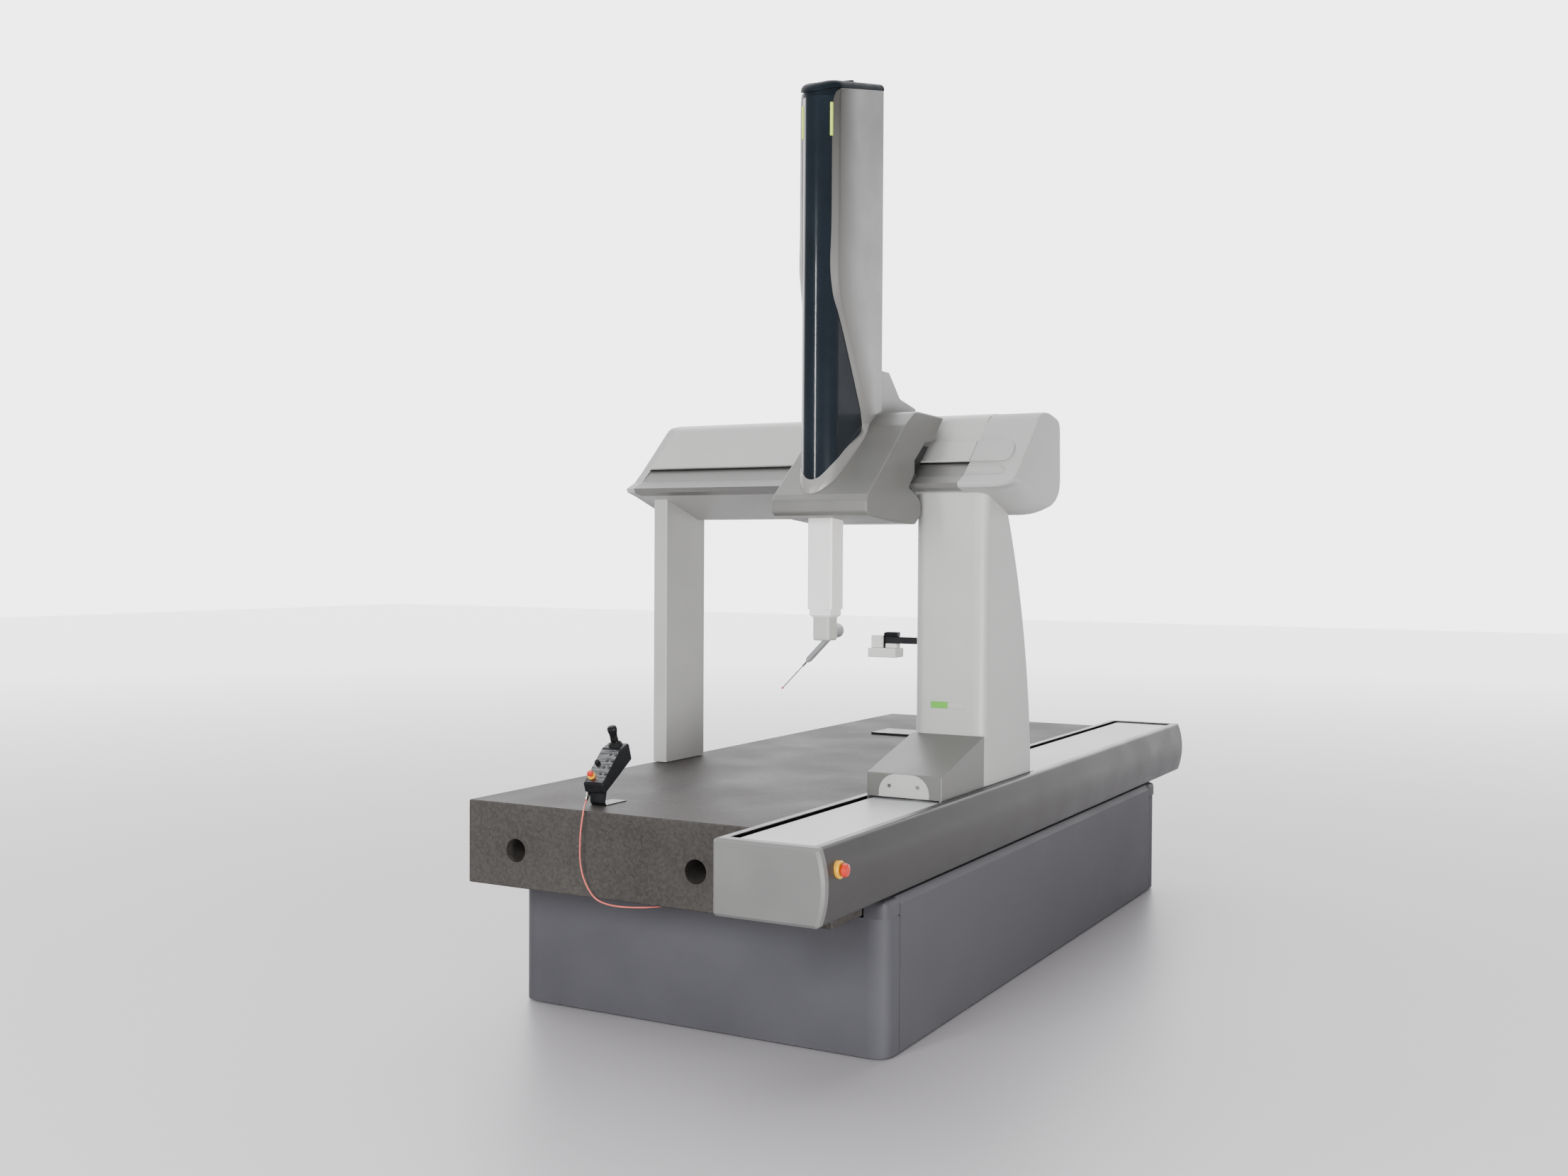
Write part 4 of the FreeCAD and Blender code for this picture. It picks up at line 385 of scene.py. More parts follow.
def disc(name, centre, axis, radius, thick, material, body, edge_mm=0.6):
    """Flat round piece that starts at centre and stands out along axis."""
    axis = Vector(axis).normalized()
    bpy.ops.mesh.primitive_cylinder_add(vertices=40, radius=radius, depth=thick,
                                        location=Vector(centre) + axis * thick / 2)
    piece = bpy.context.object
    piece.name = name
    piece.rotation_mode = "QUATERNION"
    piece.rotation_quaternion = axis.to_track_quat("Z", "Y")
    bevel = piece.modifiers.new("soft edges", "BEVEL")
    bevel.width = edge_mm * MM
    bevel.segments = 2
    bevel.limit_method = "ANGLE"
    return finish_piece(piece, material, body)


print("trim helpers ready")

# %% [markdown]
# The tower's covers are vacuum-formed shells, and their charm is in long soft curves: each side cover
# has a bevelled border that follows the dark panel down in an S, turns a tight corner at its foot and
# becomes the wide rim that seats the tower on the carriage. Boxes and bevels can't follow that, so the
# shells are lofted: rows of points, each row one section, joined by quads. Measures are in millimetres,
# X and Y from the table's front left corner and Z from the floor, as on a drawing, and one function
# brings them into the frame.

# %% Loft helpers
granite_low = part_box("granite_table")[0]
TOWER_MIDDLE = 926
NOSE_MIDDLE_Y = 711
NOSE_RADIUS = 66.4
SIDE_FACE, INNER_FACE = 75, 66.4
TOWER_REAR = 1038


def from_drawing(x, y, z):
    """Point of the drawing, in millimetres, as a place in the frame."""
    return Vector((granite_low.x + x * MM, granite_low.y + y * MM, z * MM))


def curve_through(points, steps):
    """Smooth line through points of any size, with a number of steps between each pair."""
    padded = [points[0], *points, points[-1]]
    line = []
    for before, start, stop, after in zip(padded, padded[1:], padded[2:], padded[3:]):
        for step in range(steps):
            t = step / steps
            line.append(tuple(
                0.5 * (2 * b + (c - a) * t + (2 * a - 5 * b + 4 * c - d) * t * t
                       + (3 * b - a - 3 * c + d) * t ** 3)
                for a, b, c, d in zip(before, start, stop, after)))
    line.append(tuple(points[-1]))
    return line


def lofted(name, rows, material, body, sharp):
    """Skin over rows of points, closed around each row and filled at both ends.

    An edge between faces that meet at more than the sharp angle, in degrees, isn't smoothed over.
    """
    mesh = bpy.data.meshes.new(name)
    wide = len(rows[0])
    points = [point for row in rows for point in row]
    faces = [(r * wide + k, r * wide + (k + 1) % wide, (r + 1) * wide + (k + 1) % wide, (r + 1) * wide + k)
             for r in range(len(rows) - 1) for k in range(wide)]
    faces.append(tuple(reversed(range(wide))))
    faces.append(tuple((len(rows) - 1) * wide + k for k in range(wide)))
    mesh.from_pydata(points, [], faces)
    work = bmesh.new()
    work.from_mesh(mesh)
    bmesh.ops.remove_doubles(work, verts=work.verts, dist=0.05 * MM)
    bmesh.ops.recalc_face_normals(work, faces=work.faces)
    work.to_mesh(mesh)
    work.free()
    mesh.shade_smooth()
    mesh.set_sharp_from_angle(angle=math.radians(sharp))
    piece = bpy.data.objects.new(name, mesh)
    bpy.context.collection.objects.link(piece)
    return finish_piece(piece, material, body)


print("drawing starts at", [round(v, 3) for v in from_drawing(0, 0, 0)])

# %% [markdown]
# Two lines shape a side cover. The border line is where it meets the panel, as Y and Z, and on the round
# nose its X follows from the nose's radius. The face line is where the border turns into the flat side.

# %% Side covers
BORDER = [
    (890, 1933), (889, 1965), (883, 1990), (875, 2014), (850, 2062), (806, 2145), (741, 2261), (704, 2322),
    (683, 2367), (674, 2420), (670, 2490), (673, 2600), (673.5, 2800), (674, 2985), (678, 3030),
    (687, 3054), (700, 3066),
]
FACE = [
    (932, 1965), (931, 1999), (914, 2026), (894, 2056), (856, 2114), (812, 2188), (740, 2313), (710, 2378),
    (694, 2436), (689, 2490), (692, 2600), (692, 2800), (692, 2985), (693, 3030), (696, 3055), (702, 3069),
]
REAR_FOOT_Z, REAR_TOP_Z = 2013, 3144
BORDER_SWELLS = [(0.3, 0.6), (0.72, 0.9)]
FACE_RUN, REAR_EDGE, LIP, LINE_STEPS = 8, 5, 0.8, 4


def on_panel(y):
    """Half width of the panel at a given Y: an arc on the nose, then straight sides."""
    if y >= NOSE_MIDDLE_Y:
        return NOSE_RADIUS
    return math.sqrt(NOSE_RADIUS ** 2 - (NOSE_MIDDLE_Y - y) ** 2)


def cover_section(border_point, face_point, rear_z):
    """One row of a side cover, from the panel over the border and the flat side to the rear."""
    (y_in, z_in), (y_out, z_out) = border_point, face_point
    x_in = on_panel(y_in)
    section = [(x_in, y_in, z_in), (x_in + LIP, y_in - LIP, z_in)]
    for t, swell in BORDER_SWELLS:
        section.append((x_in + (SIDE_FACE - x_in) * t + swell, y_in + (y_out - y_in) * t,
                        z_in + (z_out - z_in) * t))
    flat_rise = FACE_RUN * (rear_z - z_out) / (TOWER_REAR - y_out)
    section += [(SIDE_FACE - 0.3, y_out, z_out), (SIDE_FACE, y_out + FACE_RUN, z_out + flat_rise)]
    section += [(SIDE_FACE, TOWER_REAR - REAR_EDGE, rear_z), (SIDE_FACE - REAR_EDGE, TOWER_REAR, rear_z)]
    section += [(INNER_FACE, TOWER_REAR, rear_z), (INNER_FACE, max(y_in + 6, NOSE_MIDDLE_Y + 1), z_in + 2)]
    return section


def side_cover(name, way):
    border = curve_through(BORDER, LINE_STEPS)
    face = curve_through(FACE, LINE_STEPS)
    rows = []
    for row, border_point in enumerate(border):
        share = row / (len(border) - 1)
        face_point = face[min(round(share * (len(face) - 1)), len(face) - 1)]
        section = cover_section(border_point, face_point, REAR_FOOT_Z + share * (REAR_TOP_Z - REAR_FOOT_Z))
        rows.append([from_drawing(TOWER_MIDDLE + way * x, y, z) for x, y, z in section])
    return lofted(name, rows, TOWER, "carriage", 50)


for name, way, node in (("left_side_shell", -1, "tower_left_cover"),
                        ("right_side_shell", 1, "tower_right_cover")):
    shell = side_cover(name, way)
    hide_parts(node)
print("side shells have", len(shell.data.polygons), "faces each")

# %% [markdown]
# The rim is a wide rounded lip. Its inner line climbs with the panel, its outer line lies on the
# carriage's slope, and a low crest between them catches the light.

# %% Rim
RIM_IN = [
    (0, 644.6, 1761), (15, 646.3, 1764), (29, 651.3, 1773), (48, 665.1, 1797), (60, 682.6, 1817),
    (66.4, 711, 1838), (66.4, 755, 1866), (66.4, 820, 1901), (66.4, 868, 1927), (66.4, 888, 1946),
    (66.4, 890, 1965),
]
RIM_OUT = [
    (0, 629), (18, 633), (34, 643), (56, 669), (68, 694), (76, 730), (82, 775), (87, 824), (89, 862),
    (87, 892), (79, 925),
]
SLOPE_START, SLOPE_RISE = (627, 1711), 0.8425
RIM_SWELLS = [(0.3, 3.0), (0.6, 4.5), (0.85, 3.0)]
RIM_LIFT, RIM_DEPTH = 0.4, 12


def on_slope(y):
    """Height of the carriage's sloping face."""
    return SLOPE_START[1] + (y - SLOPE_START[0]) * SLOPE_RISE


def rim_section(xi, yi, zi, xo, yo):
    """One row of the rim, from its inner line over the crest to its outer line and back inside."""
    zo = on_slope(yo) + RIM_LIFT
    away = Vector((xo - xi, yo - yi, 0))
    away = away.normalized() if away.length > 0.1 else Vector((0, -1, 0))
    section = [(xi, yi, zi - RIM_DEPTH), (xi, yi, zi - 1), (xi + away.x * 1.5, yi + away.y * 1.5, zi)]
    for t, swell in RIM_SWELLS:
        section.append((xi + (xo - xi) * t + away.x * swell, yi + (yo - yi) * t + away.y * swell,
                        zi + (zo - zi) * t + swell))
    return section + [(xo, yo, zo), (xi, yi, min(zo, zi - RIM_DEPTH - 2))]


def rim():
    half_in, half_out = curve_through(RIM_IN, LINE_STEPS), curve_through(RIM_OUT, LINE_STEPS)
    line_in = [(-x, y, z) for x, y, z in reversed(half_in[1:])] + half_in
    line_out = [(-x, y) for x, y in reversed(half_out[1:])] + half_out
    rows = [[from_drawing(TOWER_MIDDLE + x, y, z) for x, y, z in rim_section(*inner, *outer)]
            for inner, outer in zip(line_in, line_out)]
    return lofted("tower_rim", rows, TOWER, "carriage", 60)


tower_rim = rim()
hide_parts("tower_collar")
print("rim is", round(tower_rim.dimensions.x, 3), "m wide")

# %% [markdown]
# The cap closes the tower's top over the panel and both side covers. It is hollow underneath, so that the
# ram can rise into it, and its edge rolls over to a crown that climbs to the rear. A cable gland's blank
# plug sits on it. Each row of the loft is the cap's plan, drawn in by an inset.

# %% Top cap
CAP_LINE = [(636, 3052), (660, 3062), (702, 3072), (1038, 3146)]
CAP_ROLL = [(9, -2), (0.3, -0.5), (0, 5), (1.5, 12), (6, 19), (14, 24), (27, 27), (75, 28)]
CAP_HALF, CAP_FOOT, CAP_REAR = 75, 3040.4, 1037
CAP_WALL, CAP_LIP, CAP_HOLLOW = 17, 9, 12
NOSE_STEPS, SIDE_START, SIDE_STEP, SIDE_STEPS = 28, 750, 40, 8


def cap_height(y):
    """Height of the cap's edge along the tower's side."""
    for (y0, z0), (y1, z1) in zip(CAP_LINE, CAP_LINE[1:]):
        if y <= y1:
            return z0 + (z1 - z0) * (y - y0) / (y1 - y0)
    return CAP_LINE[-1][1]


def cap_plan():
    """Outline of the cap seen from above: a round nose and two straight sides."""
    turns = [math.pi * k / NOSE_STEPS for k in range(NOSE_STEPS + 1)]
    nose = [(-CAP_HALF * math.cos(a), NOSE_MIDDLE_Y - CAP_HALF * math.sin(a)) for a in turns]
    sides = [SIDE_START + SIDE_STEP * k for k in range(SIDE_STEPS)] + [CAP_REAR]
    return [(-CAP_HALF, y) for y in reversed(sides)] + nose + [(CAP_HALF, y) for y in sides]


def inner_row(plan, inset, height_at):
    """Row of the cap's inside, where the straight sides keep their length up to the rear wall."""
    share = 1 - inset / CAP_HALF
    row = []
    for x, y in plan:
        y_share = share if y < NOSE_MIDDLE_Y else 1
        y_in = min(NOSE_MIDDLE_Y + (y - NOSE_MIDDLE_Y) * y_share, CAP_REAR - inset)
        row.append((x * share, y_in, height_at(y)))
    return row


def roll_row(plan, inset, rise):
    """Row of the cap's outside, drawn in towards the middle line and raised."""
    share = 1 - inset / CAP_HALF
    row = []
    for x, y in plan:
        middle_y = min(max(y, NOSE_MIDDLE_Y), CAP_REAR)
        z = cap_height(y) + (cap_height(middle_y) - cap_height(y)) * (1 - share) + rise
        row.append((x * share, middle_y + (y - middle_y) * share, z))
    return row


def top_cap():
    plan = cap_plan()
    rows = [inner_row(plan, CAP_WALL, lambda y: cap_height(y) + CAP_HOLLOW),
            inner_row(plan, CAP_WALL, lambda y: CAP_FOOT),
            inner_row(plan, CAP_LIP, lambda y: CAP_FOOT)]
    rows += [roll_row(plan, inset, rise) for inset, rise in CAP_ROLL]
    placed = [[from_drawing(TOWER_MIDDLE + x, y, z) for x, y, z in row] for row in rows]
    return lofted("tower_crown", placed, CROWN_ABS, "carriage", 50)


crown_shell = top_cap()
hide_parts("tower_top_cap")
disc("crown_plug", from_drawing(TOWER_MIDDLE + 12, 872, 3132), (0, -0.21, 1), 0.024, 0.013, BLACK_ABS,
     "carriage", 2.0)
print("crown is", round(crown_shell.dimensions.z, 3), "m tall")

# %% [markdown]
# The bridge's right cap is a moulding whose end rolls over with a radius that changes as it goes round:
# tight along the slope, and as wide as a hand under the nose. Each corner of the profile has a place on
# the bridge side, a place on the end face and its own roll, and the rows run between them on a quarter
# turn.

# %% Right cap
CAP_START, CAP_END = 1302.2, 1496
CORNERS = [
    # bridge side, end face, corner radius, roll
    ((1001, 1760), (1040, 1775), 5, 46), ((1058, 1786), (1064, 1788), 12, 16),
    ((1112, 1832), (1118, 1829), 12, 9), ((1306, 2012), (1310, 2004), 50, 9),
    ((1385, 2028), (1386, 2020), 60, 10), ((1516, 2004), (1506, 1996), 34, 14),
    ((1526, 1745), (1514, 1752), 46, 16), ((1461, 1686), (1452, 1702), 50, 44),
    ((1325, 1646), (1342, 1702), 70, 92), ((1056, 1733), (1128, 1764), 26, 110),
    ((1010, 1744), (1056, 1768), 5, 66),
]
CORNER_STEPS = 6


def rounded(points, radii, steps=CORNER_STEPS):
    """Closed outline with each corner softened by a short curve."""
    line = []
    for k, (corner, radius) in enumerate(zip(points, radii)):
        corner = Vector(corner)
        before = Vector(points[k - 1]) - corner
        after = Vector(points[(k + 1) % len(points)]) - corner
        start = corner + before.normalized() * min(radius, before.length * 0.45)
        stop = corner + after.normalized() * min(radius, after.length * 0.45)
        for step in range(steps):
            t = step / (steps - 1)
            line.append(start * (1 - t) ** 2 + corner * 2 * t * (1 - t) + stop * t * t)
    return line


def evened(values):
    """Each value of a closed row as the mean of itself and its two neighbours on either side."""
    wide = len(values)
    return [sum(values[(k + step) % wide] for step in (-2, -1, 0, 1, 2)) / 5 for k in range(wide)]


def right_cap():
    near_places, far_places, radii, corner_rolls = zip(*CORNERS)
    near_line, far_line = rounded(near_places, radii), rounded(far_places, radii)
    rolls = evened([roll for roll in corner_rolls for _ in range(CORNER_STEPS)])
    rows = [[from_drawing(CAP_START, *point) for point in near_line]]
    for degrees in range(0, 91, 10):
        turn = math.radians(degrees)
        gone, left = 1 - math.cos(turn), 1 - math.sin(turn)
        rows.append([from_drawing(CAP_END - roll * left, *(a + (b - a) * gone))
                     for a, b, roll in zip(near_line, far_line, rolls)])
    return lofted("right_cap_shell", rows, GREY, "bridge", 42)


cap_shell = right_cap()
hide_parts("beam_right_cap")
print("right cap has", len(cap_shell.data.polygons), "faces")

# %% [markdown]
# A shallow raised strip runs along the foot of the bridge's slope, and under it a thin black plate is
# painted shade for the guide's slot. On the cap the strip ends in a rounded shoulder and the slot in a
# U-shaped bead.
# All of them lie on two planes of the bridge, so one function places them by X and by the distance up
# the plane.

# %% Strip, slot and bead
SLOPE_FOOT, SLOPE_TOP, GUIDE_FOOT = (1112, 1832), (1306, 2012), (1058, 1786)


def on_plane(foot, top, x, up, lift):
    """Place on a plane that holds the X direction: x, distance up from its foot and height above it."""
    along_plane = (Vector(top) - Vector(foot)).normalized()
    off_plane = Vector((-along_plane.y, along_plane.x))
    y, z = Vector(foot) + along_plane * up + off_plane * lift
    return from_drawing(x, y, z)


def plate(name, foot, top, outline, low, high, material, edge_mm=1.5):
    """Plate on the bridge with softened edges, from its outline of X and distance up the plane."""
    rows = [[on_plane(foot, top, x, up, lift) for x, up in outline] for lift in (low, high)]
    piece = lofted(name, rows, material, "bridge", 30)
    bevel = piece.modifiers.new("soft edges", "BEVEL")
    bevel.width = edge_mm * MM
    bevel.segments = 3
    bevel.limit_method = "ANGLE"
    return piece


BRIDGE_LEFT, STRIP_RIGHT, CAP_SIDE = -31, 1301.5, 1302
STRIP_LOW, STRIP_HIGH, STRIP_PROUD = 8, 118, 7.5
SLOT_LOW, SLOT_HIGH = -1, 7
STRIP = [(BRIDGE_LEFT, STRIP_LOW), (STRIP_RIGHT, STRIP_LOW), (STRIP_RIGHT, STRIP_HIGH),
         (BRIDGE_LEFT, STRIP_HIGH)]
SHOULDER = [
    (CAP_SIDE, STRIP_LOW), (1412, 8), (1430, 11), (1443, 24), (1451, 46), (1452, 66), (1446, 90),
    (1436, 105), (1420, 115), (1402, 118), (CAP_SIDE, STRIP_HIGH),
]
SLOT = [(BRIDGE_LEFT, SLOT_LOW), (CAP_SIDE, SLOT_LOW), (CAP_SIDE, SLOT_HIGH), (BRIDGE_LEFT, SLOT_HIGH)]
BEAD = [(1303, 62), (1407, 61), (1430, 50), (1445, 33), (1438, 21), (1421, 13), (1303, 12)]

strip = plate("slope_strip", SLOPE_FOOT, SLOPE_TOP, STRIP, 0.3, STRIP_PROUD, ENAMEL, 2.5)
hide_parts("beam_ledge")
plate("strip_shoulder", SLOPE_FOOT, SLOPE_TOP, SHOULDER, -1.0, STRIP_PROUD, GREY, 3.0)
# painted shade: a thin black plate stands in for the dark inside of the guide's slot
plate("painted_shade_in_slot", SLOPE_FOOT, SLOPE_TOP, SLOT, 0.2, 1.2, RUBBER, 0.3)
bead_line = [on_plane(GUIDE_FOOT, SLOPE_FOOT, x, up, 0.8) for x, up in curve_through(BEAD, 6)]
bead_curve = bpy.data.curves.new("slot_bead", "CURVE")
bead_curve.dimensions = "3D"
bead_curve.bevel_depth = 2.4 * MM
bead_curve.bevel_resolution = 3
bead_path = bead_curve.splines.new("POLY")
bead_path.points.add(len(bead_line) - 1)
for point, at in zip(bead_path.points, bead_line):
    point.co = (*at, 1.0)
bead = bpy.data.objects.new("slot_bead", bead_curve)
bpy.context.collection.objects.link(bead)
finish_piece(bead, GREY, "bridge")
print("strip is", round(strip.dimensions.x, 3), "m long")

# %% [markdown]
# Two long diffusers near the top of the tower show the machine's state, one on each side of its nose.
# They are frosted lime acrylic and stand a little proud of the panel.

# %% Status lights
LIGHT_OFFSET, LIGHT_HALF = 0.049, 0.009
LIGHT_FRONT, LIGHT_BACK = -0.982, -0.965
LIGHT_FOOT, LIGHT_TOP = 2.906, 3.017
panel_low, panel_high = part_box("tower_front_panel")
for side, name in ((1, "status_light_right"), (-1, "status_light_left")):
    x = (panel_low.x + panel_high.x) / 2 + side * LIGHT_OFFSET
    soft_box(name, (x - LIGHT_HALF, LIGHT_FRONT, LIGHT_FOOT), (x + LIGHT_HALF, LIGHT_BACK, LIGHT_TOP),
             DIFFUSER, "carriage", 2.0)
print("status lights at", LIGHT_FOOT, "m")

# %% [markdown]
# A bare plate sits on the column where a maker would put a badge, and two cap screws hold the hatch at
# the foot of the column. Bare plates keep the part free of names.

# %% Column trim
PLATE_HALF, PLATE_THICK, PLATE_FOOT, PLATE_TOP = 0.064, 0.003, 0.975, 0.998
SCREW_OFFSET, SCREW_Z, SCREW_RADIUS, SCREW_THICK = 0.051, 0.748, 0.006, 0.003
TONE_EDGE = 0.004


def two_tone_enamel(name, left, right):
    """Enamel that changes colour at the middle of the piece."""
    material, surface, place = start_material(name, {"IOR": 1.5, "Roughness": 0.35})
    across = add_node(material, "ShaderNodeSeparateXYZ", links={"Vector": place})
    halves = add_node(material, "ShaderNodeMapRange", {"From Min": -TONE_EDGE, "From Max": TONE_EDGE},
                      {"Value": across.outputs["X"]})
    tones = add_node(material, "ShaderNodeValToRGB", links={"Fac": halves.outputs["Result"]},
                     stops=[(0.0, left), (1.0, right)])
    material.node_tree.links.new(tones.outputs["Color"], surface.inputs["Base Color"])
    return material


column_low, column_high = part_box("right_column")
column_mid = (column_low.x + column_high.x) / 2
badge = soft_box("column_plate", (column_mid - PLATE_HALF, column_low.y - PLATE_THICK, PLATE_FOOT),
                 (column_mid + PLATE_HALF, column_low.y, PLATE_TOP),
                 two_tone_enamel("lime and pale grey plate", "#5aa63a", "#a9aaa6"), "bridge",
                 1.2)
hatch_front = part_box("hatch_plate")[0].y
for number, offset in enumerate((-SCREW_OFFSET, SCREW_OFFSET), start=1):
    disc(f"hatch_screw_{number}", (column_mid + offset, hatch_front, SCREW_Z), (0, -1, 0), SCREW_RADIUS,
         SCREW_THICK, STEEL, "bridge")
print("column plate is", round(badge.dimensions.x, 3), "m wide")

# %% [markdown]
# A spare sensor is parked on the rack: a pale body with a pale block on top and, beside it, a black
# plate with two jaws round the rack's arm.

# %% Spare sensor
RACK_Y, SENSOR_EDGE = 2490, 4.0
SENSOR_PARTS = [
    # name, x from, x to, half depth, z from, z to, finish, slot
    ("spare_sensor", 274, 412, 46, 1047, 1089, WHITE, "grey_plastic"),
    ("spare_sensor_block", 281, 340, 26, 1089.2, 1146, WHITE, "grey_plastic"),
    ("spare_sensor_clamp", 341, 349.5, 20, 1089.2, 1160, BLACK_ABS, "black_plastic"),
    ("spare_sensor_upper", 349.8, 408, 20, 1140.4, 1162, BLACK_ABS, "black_plastic"),
    ("spare_sensor_lower", 349.8, 408, 20, 1089.2, 1109.6, WHITE, "black_plastic"),
]
for name, x_from, x_to, half, z_from, z_to, finish, slot in SENSOR_PARTS:
    block = soft_box(name, from_drawing(x_from, RACK_Y - half, z_from),
                     from_drawing(x_to, RACK_Y + half, z_to), finish, "base", SENSOR_EDGE)
    if name == "spare_sensor":
        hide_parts("stored_sensor")
print("spare sensor of", len(SENSOR_PARTS), "pieces")

# %% [markdown]
# The hand control has a brushed plate on its sloping face, a rubber boot round the joystick and a yellow
# ring under its emergency stop. The face slopes from the case's lip, at the front, to its brow.

# %% Hand control trim
LIP, BROW = Vector((0, -1.570, 0.774)), Vector((0, -1.466, 0.877))
FACE_CORNERS = [(-0.035, 0.05), (0.035, 0.05), (0.035, 0.95), (-0.035, 0.95)]
STOP_X, STOP_SHARE, RING_RADIUS, RING_THICK = -0.018, 0.2, 0.0135, 0.004
case_low, case_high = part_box("hand_case")
case_mid = (case_low.x + case_high.x) / 2
face_length = (BROW - LIP).length
slope = (BROW - LIP).normalized()
outward = Vector((0, -slope.z, slope.y))


def on_case(x, share, height):
    """Point on the case's face: x from its middle, share of the way up, height above it."""
    return Vector((case_mid + x, 0, 0)) + LIP + (BROW - LIP) * share + outward * height


face_line = rounded([(x, share * face_length) for x, share in FACE_CORNERS], [0.006] * 4)
lofted("face_film", [[on_case(x, up / face_length, height) for x, up in face_line]
                     for height in (0.0001, 0.0007)], FACE_STEEL, "base", 30)
disc("hand_stop_ring", on_case(STOP_X, STOP_SHARE, 0.0005), outward, RING_RADIUS, RING_THICK, YELLOW_ABS,
     "base")
print("hand control face leans", round(math.degrees(math.atan2(slope.z, slope.y))), "degrees")

# %% [markdown]
# The joystick's rubber boot is a short stack of folds, and its grip a waisted knob on a slim foot. A
# lathe profile of radius against height, spun round, makes both with few points.

# %% Joystick boot
AROUND = 40
CROWN = Vector((0, -1.422, 0.893))
FOLDS = [(23, 0.2), (23, 4), (20, 6), (20.5, 8), (16, 9.5), (16, 11), (11, 12.5), (10, 12.8)]
STICK = [
    (0, 3), (3.5, 4), (3.5, 15.5), (13, 17), (13.5, 19), (12.5, 30), (13, 42), (15.5, 50), (16.5, 58),
    (15.5, 64), (12, 68), (8, 69.5), (0, 70),
]


def spun(name, profile, place_at, axis, material, body):
    """Surface of revolution from radius and height in millimetres, set along an axis."""
    mesh = bpy.data.meshes.new(name)
    turns = [2 * math.pi * k / AROUND for k in range(AROUND)]
    points = [(r * MM * math.cos(a), r * MM * math.sin(a), z * MM) for r, z in profile for a in turns]
    faces = [(row * AROUND + k, row * AROUND + (k + 1) % AROUND, (row + 1) * AROUND + (k + 1) % AROUND,
              (row + 1) * AROUND + k) for row in range(len(profile) - 1) for k in range(AROUND)]
    mesh.from_pydata(points, [], faces)
    mesh.shade_smooth()
    piece = bpy.data.objects.new(name, mesh)
    bpy.context.collection.objects.link(piece)
    piece.rotation_mode = "QUATERNION"
    piece.rotation_quaternion = Vector(axis).to_track_quat("Z", "Y")
    piece.location = place_at
    return finish_piece(piece, material, body)


seat = Vector((case_mid, 0, 0)) + (BROW + CROWN) / 2
seat_way = Vector((0, -(CROWN - BROW).z, (CROWN - BROW).y)).normalized()
boot = spun("stick_boot", FOLDS, seat, seat_way, RUBBER, "base")
stick = spun("joystick_grip", STICK, seat, seat_way, BLACK_ABS, "joystick")
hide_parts("stick")
print("boot has", len(boot.data.polygons), "faces")

# %% [markdown]
# The hand control's cable leaves its plug, crosses the table, bends over the edge and runs in under the
# granite to a gland. A NURBS curve of the third order touches the middle of each straight run, which
# gives the even bends of a soft jacket. Its points are those of the solid cable.

# %% Cable
ROUTE = [
    (431, 58, 724), (443, 31, 709), (476, -20, 704), (468, -23, 648), (464, -22, 594), (464, -21, 545),
    (474, -21, 500), (497, -21, 459), (524, -20, 431), (566, -19, 420), (612, -15, 417), (656, 10, 415),
    (690, 50, 412), (711, 100, 410), (720, 150, 409), (721, 199, 409),
]
route = [from_drawing(*place) for place in ROUTE]
curve = bpy.data.curves.new("cable_line", "CURVE")
curve.dimensions = "3D"
curve.bevel_depth = 2.5 * MM
curve.bevel_resolution = 4
curve.resolution_u = 10
line = curve.splines.new("NURBS")
line.points.add(len(route) - 1)
for point, at in zip(line.points, route):
    point.co = (*at, 1.0)
line.order_u = 3
line.use_endpoint_u = True
cable = bpy.data.objects.new("control_cable", curve)
bpy.context.collection.objects.link(cable)
finish_piece(cable, JACKET, "base")
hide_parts("hand_cable")

# %% [markdown]
# The right skirt's two corners stand higher than its long side and close under the guide cover. Each is a
# small lid with one big vertical radius and a rolled top edge. The rear one mirrors the front one.

# %% Skirt corners
LID_INNER, LID_OUTER, LID_FRONT, LID_REAR = 1346, 1421.5, 194.5, 290
LID_PLAN = [(LID_INNER, LID_REAR), (LID_INNER, LID_FRONT), (LID_OUTER, LID_FRONT), (LID_OUTER, LID_REAR)]
LID_RADII = [0.5, 0.5, 60, 0.5]
LID_ROLL = [(426, 0), (458, 0), (467, 3), (474, 9), (478, 19)]
skirt_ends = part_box("front_skirt")[0].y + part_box("rear_skirt")[1].y


def skirt_lid(name, mirrored):
    outline = rounded(LID_PLAN, LID_RADII, 10)
    rows = []
    for z, inset in LID_ROLL:
        row = [from_drawing(min(x, LID_OUTER - inset), max(y, LID_FRONT + inset), z) for x, y in outline]
        if mirrored:
            row = [Vector((place.x, skirt_ends - place.y, place.z)) for place in row]
        rows.append(row)
    return lofted(name, rows, SKIRT, "base", 50)


for name, mirrored in (("front_corner_lid", False), ("rear_corner_lid", True)):
    lid = skirt_lid(name, mirrored)
print("skirt lids are", round(lid.dimensions.z, 3), "m tall")

# %% [markdown]
# The stylus ends in a ruby ball. The ball is part of the steel solid, so a ruby skin a few hundredths of
# a millimetre larger covers it.

# %% Ruby ball
BALL_RADIUS, SKIN = 3.5 * MM, 0.05 * MM
stylus_low, stylus_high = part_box("stylus")
ball_at = (stylus_low.x + BALL_RADIUS, (stylus_low.y + stylus_high.y) / 2, stylus_low.z + BALL_RADIUS)
bpy.ops.mesh.primitive_uv_sphere_add(segments=24, ring_count=16, radius=BALL_RADIUS + SKIN,
                                     location=ball_at)
ruby = bpy.context.object
ruby.name = "ruby_ball"
ruby.data.shade_smooth()
finish_piece(ruby, RUBY, "probe")
print("ruby ball at", [round(v, 3) for v in ruby.matrix_world.translation])
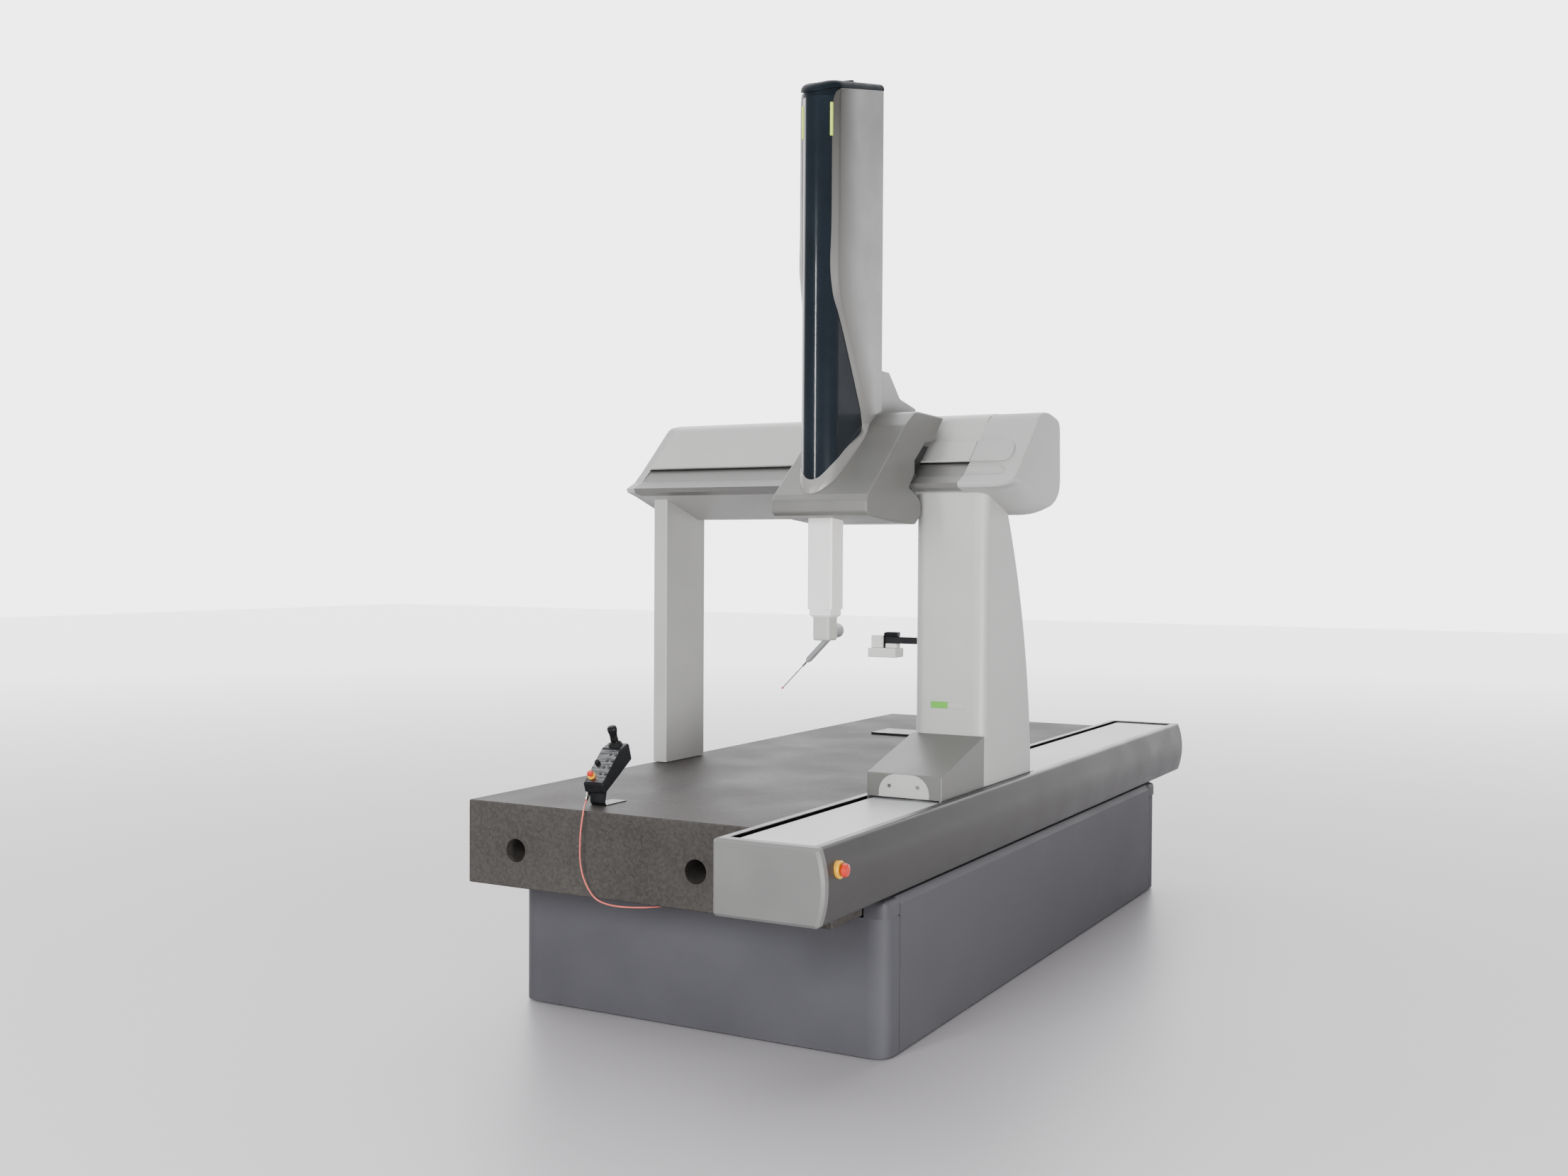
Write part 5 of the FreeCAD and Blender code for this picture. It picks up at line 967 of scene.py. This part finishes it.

# %% [markdown]
# The studio is a flat pale floor like a sweep of paper, with painted light: its colour grows lighter and
# it glows far away, so that no horizon shows. Four soft lights do the rest: one overhead, one in front that
# is kept out of reflections, a low fill from the right, and a narrow strip that draws the streak on the
# tower's panel.
# Nothing here belongs to the machine.

# %% Studio
FLOOR_SIZE, SWEEP_FROM, SWEEP_TO = 60, 1.5, 16.0
GLOW, GLOW_CURVE = 1.5, 1.4


def sweep_floor(name, near, far):
    """Floor with painted light: its colour grows lighter with distance from the machine, and it glows at
    the far end.
    """
    material, surface, place = start_material(name, {"IOR": 1.45, "Roughness": 0.4,
                                                     "Emission Color": (1.0, 1.0, 1.0, 1.0)})
    distance = add_node(material, "ShaderNodeVectorMath", {"operation": "LENGTH"}, {"Vector": place})
    reach = add_node(material, "ShaderNodeMapRange", {"From Min": SWEEP_FROM, "From Max": SWEEP_TO},
                     {"Value": distance.outputs["Value"]})
    sweep = add_node(material, "ShaderNodeValToRGB", links={"Fac": reach.outputs["Result"]},
                     stops=[(0.0, near), (1.0, far)])
    sweep.color_ramp.interpolation = "EASE"
    material.node_tree.links.new(sweep.outputs["Color"], surface.inputs["Base Color"])
    late = add_node(material, "ShaderNodeMath", {"operation": "POWER"}, {"Value": reach.outputs["Result"]})
    late.inputs[1].default_value = GLOW_CURVE
    glow = add_node(material, "ShaderNodeMath", {"operation": "MULTIPLY"}, {"Value": late.outputs["Value"]})
    glow.inputs[1].default_value = GLOW
    material.node_tree.links.new(glow.outputs["Value"], surface.inputs["Emission Strength"])
    return material


bpy.ops.mesh.primitive_plane_add(size=FLOOR_SIZE, location=(0, 0, 0))
floor = bpy.context.object
floor.name = "studio_floor"
# painted light: the floor's colour lightens with distance and glows far off
floor.data.materials.append(sweep_floor("pale floor with painted light", "#aba8ab", "#f8f7f9"))


def soft_light(name, at, aim, size, power, colour):
    """Large rectangular light that faces a point."""
    data = bpy.data.lights.new(name, "AREA")
    data.shape = "RECTANGLE"
    data.size, data.size_y = size
    data.energy = power
    data.color = linear(colour)[:3]
    lamp = bpy.data.objects.new(name, data)
    lamp.location = at
    lamp.rotation_euler = (Vector(aim) - Vector(at)).to_track_quat("-Z", "Y").to_euler()
    bpy.context.collection.objects.link(lamp)
    return lamp


MACHINE_MIDDLE, PANEL_MIDDLE, BASE_SIDE = (0, -0.4, 1.3), (0.2125, -0.939, 2.4), (0.75, -0.8, 0.4)
soft_light("overhead", (-0.8, -1.5, 6.2), MACHINE_MIDDLE, (4.0, 5.0), 135, "#ffffff")
window = soft_light("front window", (0.6, -8.6, 3.2), MACHINE_MIDDLE, (5.0, 4.0), 680, "#fdfdff")
window.visible_glossy = False
soft_light("streak strip", (-0.45, -5.90, 2.65), PANEL_MIDDLE, (0.14, 1.5), 60, "#ffffff")
soft_light("side fill", (4.8, -3.2, 0.75), BASE_SIDE, (2.4, 1.2), 230, "#ffffff")
print("four soft lights")

# %% [markdown]
# A studio is rarely even: this one is bright behind the machine and to the left, and falls off to the
# right. The world's brightness follows its direction.

# %% Surroundings
BRIGHT_WAY = (-0.55, 0.80, 0.25)
DIM, BRIGHT = 0.3, 5.0
world = bpy.data.worlds.new("pale surroundings")
bpy.context.scene.world = world
world.use_nodes = True
sky = world.node_tree.nodes["Background"]
sky.inputs["Color"].default_value = linear("#f1f0f3")
direction = add_node(world, "ShaderNodeTexCoord").outputs["Generated"]
toward = add_node(world, "ShaderNodeVectorMath", {"operation": "DOT_PRODUCT"})
world.node_tree.links.new(direction, toward.inputs[0])
toward.inputs[1].default_value = BRIGHT_WAY
fall_off = add_node(world, "ShaderNodeMapRange",
                    {"From Min": 0.5, "From Max": 0.8, "To Min": DIM, "To Max": BRIGHT,
                     "interpolation_type": "SMOOTHSTEP"},
                    {"Value": toward.outputs["Value"]})
world.node_tree.links.new(fall_off.outputs["Result"], sky.inputs["Strength"])
print("surroundings from", DIM, "to", BRIGHT)

# %% [markdown]
# The photographer stood in front and to the right, eye at about 1.5 m, and looked almost level. The
# camera's place and turn come from the straight edges of the table and the bridge.

# %% Camera
YAW, PITCH, ROLL = 0.50097, 0.02071, 0.00542
CAMERA_AT = (2.675, -5.690, 1.5074)
FOCAL_MM = 36.257
ahead = Vector((-math.sin(YAW) * math.cos(PITCH), math.cos(YAW) * math.cos(PITCH), -math.sin(PITCH)))
right = Vector((math.cos(YAW), math.sin(YAW), 0))
above = right.cross(ahead)
right_rolled = right * math.cos(ROLL) + above * math.sin(ROLL)
above_rolled = above * math.cos(ROLL) - right * math.sin(ROLL)
lens = bpy.data.cameras.new("camera")
lens.sensor_width = 36.0
lens.lens = FOCAL_MM
camera = bpy.data.objects.new("camera", lens)
axes = Matrix((right_rolled, above_rolled, -ahead)).transposed()
camera.matrix_world = Matrix.Translation(CAMERA_AT) @ axes.to_4x4()
bpy.context.collection.objects.link(camera)
bpy.context.scene.camera = camera
print("camera looks along", [round(v, 3) for v in ahead])
